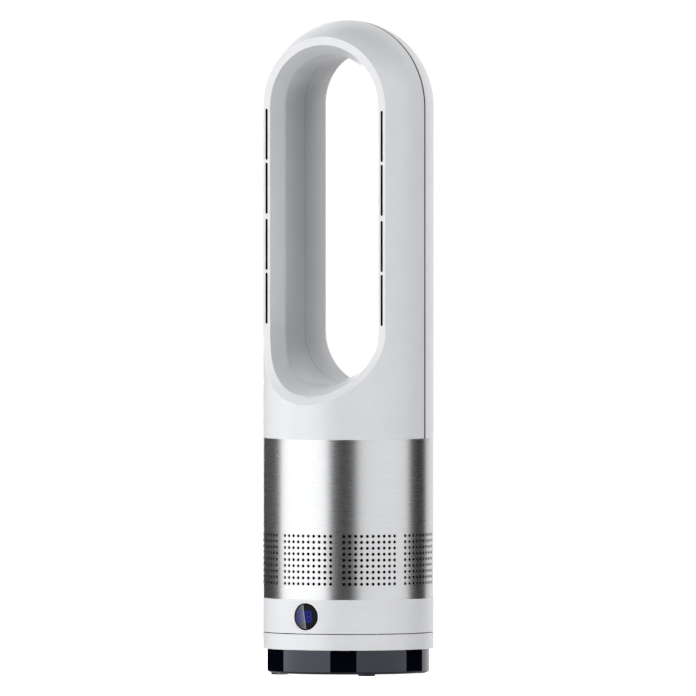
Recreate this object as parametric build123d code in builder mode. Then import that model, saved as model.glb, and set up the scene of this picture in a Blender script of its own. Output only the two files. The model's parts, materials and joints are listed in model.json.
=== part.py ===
from build123d import *
import os
from math import acos, cos, degrees, radians, sin, sqrt, tan

# A bladeless tower fan. The front faces -Y, the tower's axis is Z and the feet stand on Z = 0.
# Lengths are in millimetres and angles in degrees.

os.makedirs("parts", exist_ok=True)

# ---------------------------------------------------------------- driving dimensions
# outside
BODY_R = 100.0  # radius of the tower
PLINTH_INSET = 4.7  # how far the black plinth stands back from the tower's side
PLINTH_H = 28.4
PLINTH_ROUND = 3.0
BASE_RING_H = 18.4  # fixed white ring over the plinth
SWIVEL_GAP = 1.0  # dark gap between the fixed base and the turning tower
CONTROL_H = 39.7  # white ring with the display
SLEEVE_STEP = 0.4  # how far the steel stands back from the white rings
NECK_H = 122.7  # from the steel up to the centre of the hole's lower arc
LOOP_STRAIGHT = 265.0  # between the centres of the hole's two arcs

# loop
BAND_W = 9.6  # flat band round the front of the hole
FLARE_W = 11.4  # from the band in to the throat
FACE_Y = 56.5  # front face, in front of the axis
REAR_Y = 56.5  # rear face, behind the axis
FLARE_DEPTH = 17.5  # the flare from the band into the hole
REAR_LIP_DEPTH = 6.8
REAR_LIP_RISE = 0.6
REAR_SCOOP_DROP = 64.5  # where the rear face starts to curve out, below the lower arc's centre
REAR_SCOOP_R = 50.0
SHELL_WALL = 2.5
SHELL_SEAM_Y = 6.8  # joint of the front and rear shells
SHELL_GAP = 1.2  # shadow gap at that joint
TONGUE_T = 1.2
TONGUE_REACH = 4.0

# air slots in the band
SLOT_W = 2.2
SLOT_RIB = 3.2  # between the two slots of a pair
SLOT_MIDDLE_RIB = 5.8  # between the two pairs
SLOT_TOP_GAP = 2.8  # from the end of the straight band to the first slot
SLOT_LOW_GAP = 10.3
NOZZLE_W = 5.6
NOZZLE_DEPTH = 12.0
NOZZLE_END = 2.5
NOZZLE_LIP = 1.0

# feet, plinth and fixed base
FOOT_R = 10.0
FOOT_INSET = 12.3  # from the plinth's side to a foot's centre
FOOT_COUNT = 4
FOOT_PROUD = 2.0
FOOT_RECESS = 1.5
FOOT_EDGE = 0.6
PLINTH_WALL = 2.5
PLINTH_FLOOR = 3.0
BALLAST_T = 6.0
BALLAST_INSET = 6.0
BASE_SCREW_INSET = 17.3  # from the plinth's side to a base screw
BASE_SCREW_COUNT = 3
BASE_BOSS_R = 5.0
DECK_T = 3.0
RING_WALL = 2.5
COLLAR_H = 3.0
COLLAR_WALL = 2.0
GLAND_LIFT = 1.5  # over the ballast plate
GLAND_BORE_R = 3.5
GLAND_WALL = 2.5
GLAND_FLANGE = 3.0
GLAND_FLANGE_T = 2.4
GLAND_REACH = 7.0  # inside the plinth's wall

# swivel
HUB_WALL = 5.0
HUB_TAIL = 3.0  # below the retainer
HUB_BOSS_WALL = 6.0
WASHER_T = 1.5
RETAINER_T = 1.4
RETAINER_WIDTH = 5.0
RETAINER_GROOVE = 2.0
TABLE_T = 2.6
GEAR_TEETH = 72  # in the full circle that the toothed sector is cut from
SECTOR_TEETH = 27
PINION_TEETH = 18
PRESSURE_ANGLE = 20.0
BACKLASH = 0.25
GEAR_H = 6.0
GEAR_RISE = 4.6  # underside of the gear over the deck
GEAR_WEB = 9.0
GEAR_SCREW_SPREAD = 50.0
GEAR_BOSS_R = 3.6
PINION_H = 5.6
PINION_SHAFT_R = 3.0
PINION_SHAFT_DEPTH = 11.0  # inside the gear motor
GEAR_MOTOR_R = 25.0
GEAR_MOTOR_H = 16.0
GEAR_MOTOR_GAP = 4.55  # from the cord gland's inner end to the gear motor
HUB_GAP = 6.25  # from the gear motor to the hub's retainer
GEAR_MOTOR_EAR_X = 30.0
GEAR_MOTOR_EAR_R = 4.5
GEAR_MOTOR_EAR_T = 2.0
GEAR_MOTOR_BOSS_R = 5.4

# control ring and display
LENS_R = 15.8
LENS_T = 1.6
DISPLAY_RIM = 1.2
LENS_RECESS = 0.3
DISPLAY_EAR_W = 4.0
DISPLAY_EAR_H = 18.0
DISPLAY_EAR_T = 2.0
LENS_SHOULDER = 1.5
BOARD_T = 1.6
LED_W = 20.0
LED_H = 12.0
LED_T = 3.0
LEDGE_W = 4.5
LEDGE_T = 3.0
RING_SCREW_COUNT = 4
CONTROL_BOARD_X = 104.0
CONTROL_BOARD_Y = 66.0
CONTROL_BOARD_INSET = 6.0  # from the board's edge to its screws
STANDOFF_H = 7.0
STANDOFF_R = 3.5
CAPACITOR_R = 6.0
CAPACITOR_H = 16.0
TRANSFORMER_SIDE = 22.0
TRANSFORMER_H = 17.0
HEAT_SINK_L = 40.0
HEAT_SINK_W = 14.0
HEAT_SINK_H = 12.0

# air intake
SLEEVE_T = 0.8
FRAME_WALL = 2.5
FRAME_FLOOR_T = 2.5
FRAME_CABLE_R = 14.0
GROUPS = 8  # groups of holes round the steel
GROUP_ARC = 36.0  # from the first column of a group to its last
GROUP_H = 56.0  # from the first row to the last
GROUP_RISE = 18.5  # first row over the steel's lower edge
HOLE_COLUMNS = 6
HOLE_ROWS = 6
HOLE_SIDE = 5.2
WINDOW_MARGIN = 5.0
PLENUM_H = 86.5
STEP_W = 5.0
STEP_T = 2.5
SCREEN_T = 0.8

# fan unit
BELL_T = 2.5
BELL_GAP = 0.5
BELL_CONE_W = 13.0
INLET_R = 49.0
ISOLATOR_H = 13.5
ISOLATOR_R = 5.5
ISOLATOR_WAIST = 1.5
ISOLATOR_COUNT = 4
SHROUD_H = 34.0
SHROUD_FLANGE_T = 2.5
FLANGE_GAP = 6.55  # from the shroud's flange to the intake frame
DUCT_WALL = 2.5
DIFFUSER_H = 36.0
VANE_COUNT = 9
VANE_T = 2.0
BUCKET_R = 48.5
BUCKET_WALL = 2.5
BUCKET_FLOOR = 3.0
SHOULDER_H = 10.0  # stator seat over the bucket's underside
SHOULDER_W = 8.0
STATOR_H = 18.0
ROTOR_R = 20.0
ROTOR_H = 18.0
AIR_GAP = 0.6
SHAFT_R = 4.0
BEARING_R = 11.0
BEARING_H = 6.0
BEARING_BOSS_WALL = 3.0
PLATE_T = 3.0
CAP_H = 20.0
CAP_TOP_R = 24.0
CAP_WALL = 2.0
BLADE_COUNT = 9
BLADE_T = 1.8
BLADE_SWEEP = 30.0
IMPELLER_NOSE_R = 12.0
IMPELLER_HUB_R = 44.0
IMPELLER_H = 26.0
IMPELLER_BACK_T = 3.0
IMPELLER_BACK_GAP = 2.0
TIP_GAP = 1.2
NUT_R = 7.0
NUT_H = 5.0
SEAL_T = 2.5
FUNNEL_H = 12.3
FUNNEL_FLANGE_T = 2.8
FUNNEL_WALL = 2.5
SPIGOT_H = 6.0
SPIGOT_WALL = 2.5

# screws
SCREW_R = 1.5
SCREW_HEAD_R = 2.8
SCREW_HEAD_H = 1.8
BASE_SCREW_L = 12.0
GEAR_SCREW_L = 9.0
SMALL_HEAD_R = 2.0
SMALL_SCREW_L = 5.5

# clearances
FIT = 0.2  # between curved faces that are fastened together
RUN_FIT = 0.05  # round a shaft or pivot that turns
THREAD_FIT = 0.02
THRUST_GAP = 0.1
OPEN_GAP = 0.5  # between a turning piece and a still one beside it
CUT = 5.0  # how far a cutting shape runs past what it cuts

# ---------------------------------------------------------------- places that follow from the sizes
PLINTH_R = BODY_R - PLINTH_INSET
PLINTH_IN_R = PLINTH_R - PLINTH_WALL
FOOT_PLACE_R = PLINTH_R - FOOT_INSET
BASE_SCREW_PLACE_R = PLINTH_R - BASE_SCREW_INSET
PLINTH_Z0 = FOOT_PROUD
FLOOR_Z = PLINTH_Z0 + PLINTH_FLOOR
PLINTH_Z1 = PLINTH_Z0 + PLINTH_H
DECK_Z1 = PLINTH_Z1 + DECK_T
GLAND_Z = FLOOR_Z + BALLAST_T + GLAND_LIFT + GLAND_BORE_R + GLAND_WALL
SWIVEL_Z = PLINTH_Z1 + BASE_RING_H
TOWER_Z = SWIVEL_Z + SWIVEL_GAP
TABLE_Z1 = TOWER_Z + TABLE_T
LEDGE_Z1 = TABLE_Z1 + LEDGE_T
CONTROL_Z1 = TOWER_Z + CONTROL_H
BELL_Z0 = CONTROL_Z1 + PLENUM_H
BELL_Z1 = BELL_Z0 + BELL_T
SHROUD_Z0 = BELL_Z1 + ISOLATOR_H
DIFFUSER_Z0 = SHROUD_Z0 + SHROUD_H
DIFFUSER_Z1 = DIFFUSER_Z0 + DIFFUSER_H
FUNNEL_Z0 = DIFFUSER_Z1 + SEAL_T
SLEEVE_Z1 = FUNNEL_Z0 + FUNNEL_H
FRAME_Z1 = SLEEVE_Z1 - FUNNEL_FLANGE_T
LOOP_LOW_Z = SLEEVE_Z1 + NECK_H
DOME_Z = LOOP_LOW_Z + LOOP_STRAIGHT

RING_IN_R = BODY_R - RING_WALL
TABLE_R = RING_IN_R - FIT
SLEEVE_R = BODY_R - SLEEVE_STEP
SLEEVE_IN_R = SLEEVE_R - SLEEVE_T
FRAME_R = SLEEVE_IN_R - FIT
FRAME_IN_R = FRAME_R - FRAME_WALL
FLANGE_R = FRAME_IN_R - FLANGE_GAP
DUCT_R = FLANGE_R - 1.5 * ISOLATOR_R - DUCT_WALL

PINION_Y = PLINTH_IN_R - GLAND_REACH - GEAR_MOTOR_GAP - GEAR_MOTOR_R
GEAR_MODULE = 2 * PINION_Y / (GEAR_TEETH + PINION_TEETH)
HUB_R = PINION_Y - GEAR_MOTOR_R - HUB_GAP - RETAINER_WIDTH
HUB_BORE_R = HUB_R - HUB_WALL
HUB_BOSS_R = HUB_R + RUN_FIT + HUB_BOSS_WALL
BOSS_Z1 = TOWER_Z - THRUST_GAP - WASHER_T
RETAINER_Z1 = PLINTH_Z1 - OPEN_GAP
RETAINER_Z0 = RETAINER_Z1 - RETAINER_T
GEAR_Z0 = DECK_Z1 + GEAR_RISE
GEAR_Z1 = GEAR_Z0 + GEAR_H
GEAR_PITCH_R = GEAR_MODULE * GEAR_TEETH / 2
GEAR_ROOT_R = GEAR_PITCH_R - 1.25 * GEAR_MODULE
GEAR_IN_R = GEAR_PITCH_R - GEAR_WEB
GEAR_STEP = 360.0 / GEAR_TEETH
GEAR_SCREW_PLACE_R = (GEAR_IN_R + GEAR_ROOT_R) / 2
PINION_PITCH_R = GEAR_MODULE * PINION_TEETH / 2
PINION_Z0 = (GEAR_Z0 + GEAR_Z1 - PINION_H) / 2
PINION_Z1 = PINION_Z0 + PINION_H
GEAR_MOTOR_Z0 = PLINTH_Z1 - GEAR_MOTOR_H
PINION_SHAFT_Z0 = PLINTH_Z1 - PINION_SHAFT_DEPTH

DISPLAY_Z = (TOWER_Z + CONTROL_Z1) / 2
LENS_FACE_R = BODY_R - LENS_RECESS
DISPLAY_R = LENS_R + FIT + DISPLAY_RIM
DISPLAY_EAR_X = DISPLAY_R + DISPLAY_EAR_W
DISPLAY_EAR_Y = sqrt(RING_IN_R**2 - DISPLAY_EAR_X**2) - FIT
DISPLAY_BACK_Y = DISPLAY_EAR_Y - DISPLAY_EAR_T
LENS_SEAT_Y = sqrt((LENS_FACE_R - LENS_T) ** 2 - LENS_R**2) - FIT

BEARING_LOW_Z = DIFFUSER_Z0 + BUCKET_FLOOR
BEARING_HIGH_Z = DIFFUSER_Z1 - BEARING_H
BUCKET_IN_R = BUCKET_R - BUCKET_WALL
STATOR_Z0 = DIFFUSER_Z0 + SHOULDER_H
STATOR_R = BUCKET_IN_R - FIT
PLATE_Z1 = DIFFUSER_Z1 + PLATE_T
IMPELLER_Z1 = DIFFUSER_Z0 - IMPELLER_BACK_GAP
IMPELLER_Z0 = IMPELLER_Z1 - IMPELLER_H
NUT_Z0 = IMPELLER_Z0 - NUT_H

BAND_OUT_R = sqrt(BODY_R**2 - FACE_Y**2)
BAND_IN_R = BAND_OUT_R - BAND_W
THROAT_R = BAND_IN_R - FLARE_W
SLOT_X = (BAND_IN_R + BAND_OUT_R) / 2
SLOT_L = (LOOP_STRAIGHT - SLOT_TOP_GAP - SLOT_LOW_GAP - SLOT_MIDDLE_RIB - 2 * SLOT_RIB) / 4
SLOT_GROUP_L = LOOP_STRAIGHT - SLOT_TOP_GAP - SLOT_LOW_GAP
SLOT_Z = DOME_Z - SLOT_TOP_GAP - SLOT_GROUP_L / 2
SLOT_OFFSETS = [
    side * (SLOT_MIDDLE_RIB / 2 + SLOT_L / 2 + step * (SLOT_L + SLOT_RIB))
    for side in (-1, 1)
    for step in (0, 1)
]


# ---------------------------------------------------------------- helpers
def band(r0, r1, z0, z1, mode=Mode.ADD):
    """A rectangle of the half section, from radius r0 to r1 and from height z0 to z1."""
    with Locations((r0, z0)):
        Rectangle(r1 - r0, z1 - z0, align=(Align.MIN, Align.MIN), mode=mode)


def foot_places():
    return PolarLocations(FOOT_PLACE_R, FOOT_COUNT, start_angle=45)


def base_screw_places():
    return PolarLocations(BASE_SCREW_PLACE_R, BASE_SCREW_COUNT, start_angle=-90)


def gear_motor_screw_places():
    return Locations((-GEAR_MOTOR_EAR_X, PINION_Y), (GEAR_MOTOR_EAR_X, PINION_Y))


def gear_screw_places():
    spread = GEAR_SCREW_SPREAD
    return PolarLocations(GEAR_SCREW_PLACE_R, 3, 90 - spread, 2 * spread, endpoint=True)


def ring_screw_places():
    return PolarLocations(RING_IN_R - LEDGE_W / 2, RING_SCREW_COUNT, start_angle=45)


def standoff_places():
    inset = 2 * CONTROL_BOARD_INSET
    return GridLocations(CONTROL_BOARD_X - inset, CONTROL_BOARD_Y - inset, 2, 2)


def isolator_places():
    return PolarLocations(DUCT_R + DUCT_WALL + ISOLATOR_R / 2, ISOLATOR_COUNT, start_angle=45)


def tooth_outline(teeth):
    """Corners of one gear tooth that points along +X, with points of the involute on its flanks."""
    pitch_r = GEAR_MODULE * teeth / 2
    base_r = pitch_r * cos(radians(PRESSURE_ANGLE))
    root_r = pitch_r - 1.25 * GEAR_MODULE
    tip_r = pitch_r + 0.9 * GEAR_MODULE
    half_angle = 90.0 / teeth - degrees(BACKLASH / 2 / pitch_r)

    def involute(r):
        pressure = acos(min(base_r / r, 1.0))
        return degrees(tan(pressure) - pressure)

    upper = [(root_r - GEAR_MODULE, half_angle + involute(pitch_r))]
    for r in (max(root_r, base_r), pitch_r, tip_r):
        upper.append((r, half_angle + involute(pitch_r) - involute(r)))
    corners = upper + [(r, -turn) for r, turn in reversed(upper)]
    return [(r * cos(radians(turn)), r * sin(radians(turn))) for r, turn in corners]


def loop_form(inset, flared=True):
    """The solid inside the loop's outer surface when that is moved inwards by inset.

    It is a domed cylinder. Its front is cut flat, and below the hole the cut sweeps forward along a
    hyperbola, so that seen from the front the band's outer edge stays a half circle. Its rear is cut
    flat and scooped out again below the hole. The hole has two round ends and a flared front edge.
    """
    radius = BODY_R - inset
    face = FACE_Y - inset
    rear = REAR_Y - inset
    throat = THROAT_R + inset
    scoop_r = REAR_SCOOP_R + inset
    reach = radius + CUT
    top_z = DOME_Z + reach
    flare_l = sqrt(FLARE_W**2 + FLARE_DEPTH**2)
    low_z = LOOP_LOW_Z - inset * (sqrt(BODY_R**2 + BAND_OUT_R**2) - FACE_Y) / BAND_OUT_R
    drop = sqrt(reach**2 - face**2)
    handle = drop - reach * (reach - face) / drop
    weight = sqrt((reach / face + 1) / 2)
    rear_z = LOOP_LOW_Z - REAR_SCOOP_DROP

    with BuildPart() as form:
        with BuildSketch(Plane.XZ):
            with BuildLine():
                Line((0, SLEEVE_Z1), (radius, SLEEVE_Z1))
                Line((radius, SLEEVE_Z1), (radius, DOME_Z))
                CenterArc((0, DOME_Z), radius, 0, 90)
                Line((0, DOME_Z + radius), (0, SLEEVE_Z1))
            make_face()
        revolve(axis=Axis.Z)
        with BuildSketch(Plane.YZ):
            with BuildLine():
                Line((-face, top_z), (-face, low_z))
                Bezier(
                    (-face, low_z),
                    (-face, low_z - handle),
                    (-reach, low_z - drop),
                    weights=[1, weight, 1],
                )
                Line((-reach, low_z - drop), (-reach, top_z))
                Line((-reach, top_z), (-face, top_z))
            make_face()
            with BuildLine():
                Line((rear, top_z), (rear, rear_z))
                CenterArc((rear + scoop_r, rear_z), scoop_r, 180, 90)
                Line((rear + scoop_r, rear_z - scoop_r), (rear + scoop_r, top_z))
                Line((rear + scoop_r, top_z), (rear, top_z))
            make_face()
        extrude(amount=reach, both=True, mode=Mode.SUBTRACT)
        with BuildSketch(Plane.XZ):
            with Locations((0, LOOP_LOW_Z + LOOP_STRAIGHT / 2)):
                SlotCenterToCenter(LOOP_STRAIGHT, 2 * throat, rotation=90)
        extrude(amount=reach, both=True, mode=Mode.SUBTRACT)
        if flared:
            flats = form.faces().filter_by(Plane.XZ).sort_by(Axis.Y)
            for flat, along, deep in (
                (
                    flats[0],
                    FLARE_W - inset * (1 - (flare_l - FLARE_W) / FLARE_DEPTH),
                    FLARE_DEPTH - inset * (1 - (flare_l - FLARE_DEPTH) / FLARE_W),
                ),
                (flats[-1], REAR_LIP_RISE, REAR_LIP_DEPTH),
            ):
                edge = flat.edges().filter_by(Axis.Z).sort_by(lambda e: abs(e.center().X))[0]
                chamfer(edge, length=along, length2=deep, reference=flat)
    return form


# ---------------------------------------------------------------- feet, plinth and ballast
with BuildPart() as foot_pads:
    with BuildSketch():
        with foot_places():
            Circle(FOOT_R)
    extrude(amount=FOOT_PROUD + FOOT_RECESS)
    chamfer(foot_pads.edges().group_by(Axis.Z)[0], FOOT_EDGE)
foot_pads.part.label = "foot_pads"
export_step(foot_pads.part, "parts/foot_pads.step")

with BuildPart() as plinth:
    with BuildSketch(Plane.XY.offset(PLINTH_Z0)):
        Circle(PLINTH_R)
    extrude(amount=PLINTH_H)
    fillet(plinth.edges().group_by(Axis.Z)[0], PLINTH_ROUND)
    with BuildSketch(Plane.XY.offset(FLOOR_Z)):
        Circle(PLINTH_IN_R)
    extrude(amount=PLINTH_H, mode=Mode.SUBTRACT)
    with BuildSketch(Plane.XY.offset(PLINTH_Z0)):
        with foot_places():
            Circle(FOOT_R + FIT)
    extrude(amount=FOOT_RECESS, mode=Mode.SUBTRACT)
    with BuildSketch(Plane.XY.offset(PLINTH_Z0)):
        with base_screw_places():
            Circle(SCREW_HEAD_R + FIT)
    extrude(amount=SCREW_HEAD_H, mode=Mode.SUBTRACT)
    with BuildSketch(Plane.XY.offset(PLINTH_Z0)):
        with base_screw_places():
            Circle(SCREW_R + FIT)
    extrude(amount=PLINTH_FLOOR, mode=Mode.SUBTRACT)
    with BuildSketch(Plane.XZ.offset(-PLINTH_R - CUT)):
        with Locations((0, GLAND_Z)):
            Circle(GLAND_BORE_R + GLAND_WALL + FIT)
    extrude(amount=PLINTH_WALL + 2 * CUT, mode=Mode.SUBTRACT)
plinth.part.label = "plinth"
export_step(plinth.part, "parts/plinth.step")

with BuildPart() as ballast_plate:
    with BuildSketch(Plane.XY.offset(FLOOR_Z)):
        Circle(PLINTH_IN_R - BALLAST_INSET)
        with base_screw_places():
            Circle(BASE_BOSS_R + FIT, mode=Mode.SUBTRACT)
    extrude(amount=BALLAST_T)
ballast_plate.part.label = "ballast_plate"
export_step(ballast_plate.part, "parts/ballast_plate.step")

with BuildPart() as cord_gland:
    with BuildSketch(Plane.XZ.offset(-PLINTH_R - FIT)):
        with Locations((0, GLAND_Z)):
            Circle(GLAND_BORE_R + GLAND_WALL + GLAND_FLANGE)
    extrude(amount=-GLAND_FLANGE_T)
    chamfer(cord_gland.edges().group_by(Axis.Y)[-1], FOOT_EDGE)
    with BuildSketch(Plane.XZ.offset(-PLINTH_R - FIT)):
        with Locations((0, GLAND_Z)):
            Circle(GLAND_BORE_R + GLAND_WALL)
    extrude(amount=FIT + PLINTH_WALL + GLAND_REACH)
    with BuildSketch(Plane.XZ.offset(-PLINTH_R - CUT)):
        with Locations((0, GLAND_Z)):
            Circle(GLAND_BORE_R)
    extrude(amount=PLINTH_WALL + GLAND_REACH + 2 * CUT, mode=Mode.SUBTRACT)
cord_gland.part.label = "cord_gland"
export_step(cord_gland.part, "parts/cord_gland.step")


# ---------------------------------------------------------------- fixed ring, swivel and its drive
with BuildPart() as base_ring:
    with BuildSketch(Plane.XZ):
        band(RING_IN_R, BODY_R, PLINTH_Z1, SWIVEL_Z)
        band(HUB_R + RUN_FIT, BODY_R, PLINTH_Z1, DECK_Z1)
        band(HUB_R + RUN_FIT, HUB_BOSS_R, PLINTH_Z1, BOSS_Z1)
        band(PLINTH_IN_R - FIT - COLLAR_WALL, PLINTH_IN_R - FIT, PLINTH_Z1 - COLLAR_H, DECK_Z1)
    revolve(axis=Axis.Z)
    with BuildSketch(Plane.XY.offset(FLOOR_Z)):
        with base_screw_places():
            Circle(BASE_BOSS_R)
    extrude(amount=DECK_Z1 - FLOOR_Z)
    with BuildSketch(Plane.XY.offset(FLOOR_Z)):
        with base_screw_places():
            Circle(SCREW_R + THREAD_FIT)
    extrude(amount=BASE_SCREW_L, mode=Mode.SUBTRACT)
    with BuildSketch(Plane.XY.offset(PLINTH_Z1)):
        with Locations((0, PINION_Y)):
            Circle(GEAR_MOTOR_BOSS_R + FIT)
        with gear_motor_screw_places():
            Circle(SCREW_R + THREAD_FIT)
    extrude(amount=DECK_T, mode=Mode.SUBTRACT)
base_ring.part.label = "base_ring"
export_step(base_ring.part, "parts/base_ring.step")

with BuildPart() as base_screws:
    with BuildSketch(Plane.XY.offset(PLINTH_Z0)):
        with base_screw_places():
            Circle(SCREW_HEAD_R)
    extrude(amount=SCREW_HEAD_H)
    with BuildSketch(Plane.XY.offset(PLINTH_Z0)):
        with base_screw_places():
            Circle(SCREW_R)
    extrude(amount=BASE_SCREW_L)
base_screws.part.label = "base_screws"
export_step(base_screws.part, "parts/base_screws.step")

with BuildPart() as thrust_washer:
    with BuildSketch(Plane.XZ):
        band(HUB_R + OPEN_GAP, HUB_BOSS_R, BOSS_Z1, BOSS_Z1 + WASHER_T)
    revolve(axis=Axis.Z)
thrust_washer.part.label = "thrust_washer"
export_step(thrust_washer.part, "parts/thrust_washer.step")

with BuildPart() as gear_motor:
    with BuildSketch(Plane.XY.offset(GEAR_MOTOR_Z0)):
        with Locations((0, PINION_Y)):
            Circle(GEAR_MOTOR_R)
    extrude(amount=GEAR_MOTOR_H)
    with BuildSketch(Plane.XY.offset(PLINTH_Z1 - GEAR_MOTOR_EAR_T)):
        with Locations((0, PINION_Y)):
            SlotCenterToCenter(2 * GEAR_MOTOR_EAR_X, 2 * GEAR_MOTOR_EAR_R)
        with gear_motor_screw_places():
            Circle(SCREW_R + FIT, mode=Mode.SUBTRACT)
    extrude(amount=GEAR_MOTOR_EAR_T)
    with BuildSketch(Plane.XY.offset(PLINTH_Z1)):
        with Locations((0, PINION_Y)):
            Circle(GEAR_MOTOR_BOSS_R)
    extrude(amount=PINION_Z0 - OPEN_GAP - PLINTH_Z1)
    with BuildSketch(Plane.XY.offset(PINION_SHAFT_Z0)):
        with Locations((0, PINION_Y)):
            Circle(PINION_SHAFT_R + RUN_FIT)
    extrude(amount=PINION_Z0 - PINION_SHAFT_Z0, mode=Mode.SUBTRACT)
gear_motor.part.label = "gear_motor"
export_step(gear_motor.part, "parts/gear_motor.step")

with BuildPart() as gear_motor_screws:
    with BuildSketch(Plane.XY.offset(PLINTH_Z1 - GEAR_MOTOR_EAR_T - SCREW_HEAD_H)):
        with gear_motor_screw_places():
            Circle(SCREW_HEAD_R)
    extrude(amount=SCREW_HEAD_H)
    with BuildSketch(Plane.XY.offset(PLINTH_Z1 - GEAR_MOTOR_EAR_T)):
        with gear_motor_screw_places():
            Circle(SCREW_R)
    extrude(amount=GEAR_MOTOR_EAR_T + DECK_T)
gear_motor_screws.part.label = "gear_motor_screws"
export_step(gear_motor_screws.part, "parts/gear_motor_screws.step")

with BuildPart() as pinion_shaft:
    with BuildSketch(Plane.XY.offset(PINION_SHAFT_Z0 + OPEN_GAP)):
        with Locations((0, PINION_Y)):
            Circle(PINION_SHAFT_R)
    extrude(amount=PINION_Z1 - PINION_SHAFT_Z0 - OPEN_GAP)
pinion_shaft.part.label = "pinion_shaft"
export_step(pinion_shaft.part, "parts/pinion_shaft.step")

with BuildPart() as drive_pinion:
    with BuildSketch(Plane.XY.offset(PINION_Z0)):
        with Locations((0, PINION_Y)):
            Circle(PINION_PITCH_R - 1.25 * GEAR_MODULE)
            with PolarLocations(0, PINION_TEETH, start_angle=-90 + 180 / PINION_TEETH):
                Polygon(*tooth_outline(PINION_TEETH), align=None)
            Circle(PINION_SHAFT_R + THREAD_FIT, mode=Mode.SUBTRACT)
    extrude(amount=PINION_H)
drive_pinion.part.label = "drive_pinion"
export_step(drive_pinion.part, "parts/drive_pinion.step")

with BuildPart() as swivel_gear:
    first = 90 - SECTOR_TEETH // 2 * GEAR_STEP
    sweep_angle = (SECTOR_TEETH - 1) * GEAR_STEP
    with BuildSketch(Plane.XY.offset(GEAR_Z0)):
        with BuildLine():
            rim = CenterArc((0, 0), GEAR_ROOT_R, first, sweep_angle)
            bore = CenterArc((0, 0), GEAR_IN_R, first, sweep_angle)
            Line(rim @ 0, bore @ 0)
            Line(rim @ 1, bore @ 1)
        make_face()
        with PolarLocations(0, SECTOR_TEETH, first, sweep_angle, endpoint=True):
            Polygon(*tooth_outline(GEAR_TEETH), align=None)
        with gear_screw_places():
            Circle(SCREW_R + FIT, mode=Mode.SUBTRACT)
    extrude(amount=GEAR_H)
swivel_gear.part.label = "swivel_gear"
export_step(swivel_gear.part, "parts/swivel_gear.step")

with BuildPart() as gear_screws:
    with BuildSketch(Plane.XY.offset(GEAR_Z0 - SCREW_HEAD_H)):
        with gear_screw_places():
            Circle(SCREW_HEAD_R)
    extrude(amount=SCREW_HEAD_H)
    with BuildSketch(Plane.XY.offset(GEAR_Z0)):
        with gear_screw_places():
            Circle(SCREW_R)
    extrude(amount=GEAR_SCREW_L)
gear_screws.part.label = "gear_screws"
export_step(gear_screws.part, "parts/gear_screws.step")

with BuildPart() as turntable:
    with BuildSketch(Plane.XZ):
        band(HUB_BORE_R, TABLE_R, TOWER_Z, TABLE_Z1)
        band(HUB_BORE_R, HUB_R, RETAINER_Z0 - HUB_TAIL, TABLE_Z1)
        band(
            HUB_R - RETAINER_GROOVE,
            HUB_R + CUT,
            RETAINER_Z0,
            RETAINER_Z1,
            mode=Mode.SUBTRACT,
        )
    revolve(axis=Axis.Z)
    with BuildSketch(Plane.XY.offset(GEAR_Z1)):
        with gear_screw_places():
            Circle(GEAR_BOSS_R)
    extrude(amount=TABLE_Z1 - GEAR_Z1)
    with BuildSketch(Plane.XY.offset(GEAR_Z1)):
        with gear_screw_places():
            Circle(SCREW_R + THREAD_FIT)
    extrude(amount=GEAR_SCREW_L - GEAR_H, mode=Mode.SUBTRACT)
    with BuildSketch(Plane.XY.offset(TABLE_Z1)):
        with standoff_places():
            Circle(STANDOFF_R)
    extrude(amount=STANDOFF_H)
    with BuildSketch(Plane.XY.offset(LEDGE_Z1 - SMALL_SCREW_L)):
        with ring_screw_places():
            Circle(SCREW_R + THREAD_FIT)
    extrude(amount=SMALL_SCREW_L, mode=Mode.SUBTRACT)
    with BuildSketch(Plane.XY.offset(TABLE_Z1 + STANDOFF_H - SMALL_SCREW_L + BOARD_T)):
        with standoff_places():
            Circle(SCREW_R + THREAD_FIT)
    extrude(amount=SMALL_SCREW_L, mode=Mode.SUBTRACT)
    with BuildSketch(Plane.XZ.offset(DISPLAY_BACK_Y - BOARD_T - FIT)):
        with Locations((0, DISPLAY_Z)):
            Circle(DISPLAY_R + FIT)
    extrude(amount=BODY_R, mode=Mode.SUBTRACT)
turntable.part.label = "turntable"
export_step(turntable.part, "parts/turntable.step")

with BuildPart() as hub_retainer:
    with BuildSketch(Plane.XZ):
        band(HUB_R - RETAINER_GROOVE + FIT, HUB_R + RETAINER_WIDTH, RETAINER_Z0, RETAINER_Z1)
    revolve(axis=Axis.Z)
hub_retainer.part.label = "hub_retainer"
export_step(hub_retainer.part, "parts/hub_retainer.step")


# ---------------------------------------------------------------- control ring and display
with BuildPart() as control_ring:
    with BuildSketch(Plane.XZ):
        band(RING_IN_R, BODY_R, TOWER_Z, CONTROL_Z1)
        band(RING_IN_R - LEDGE_W, BODY_R, TABLE_Z1, LEDGE_Z1)
    revolve(axis=Axis.Z)
    with BuildSketch(Plane.XZ.offset(RING_IN_R - LEDGE_W - CUT)):
        with Locations((0, DISPLAY_Z)):
            Circle(DISPLAY_R + FIT)
    extrude(amount=BODY_R, mode=Mode.SUBTRACT)
    with BuildSketch(Plane.XY.offset(TABLE_Z1)):
        with ring_screw_places():
            Circle(SCREW_R + FIT)
    extrude(amount=LEDGE_T, mode=Mode.SUBTRACT)
control_ring.part.label = "control_ring"
export_step(control_ring.part, "parts/control_ring.step")

with BuildPart() as ring_screws:
    with BuildSketch(Plane.XY.offset(LEDGE_Z1)):
        with ring_screw_places():
            Circle(SMALL_HEAD_R)
    extrude(amount=SCREW_HEAD_H)
    with BuildSketch(Plane.XY.offset(LEDGE_Z1 - SMALL_SCREW_L)):
        with ring_screw_places():
            Circle(SCREW_R)
    extrude(amount=SMALL_SCREW_L)
ring_screws.part.label = "ring_screws"
export_step(ring_screws.part, "parts/ring_screws.step")

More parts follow.
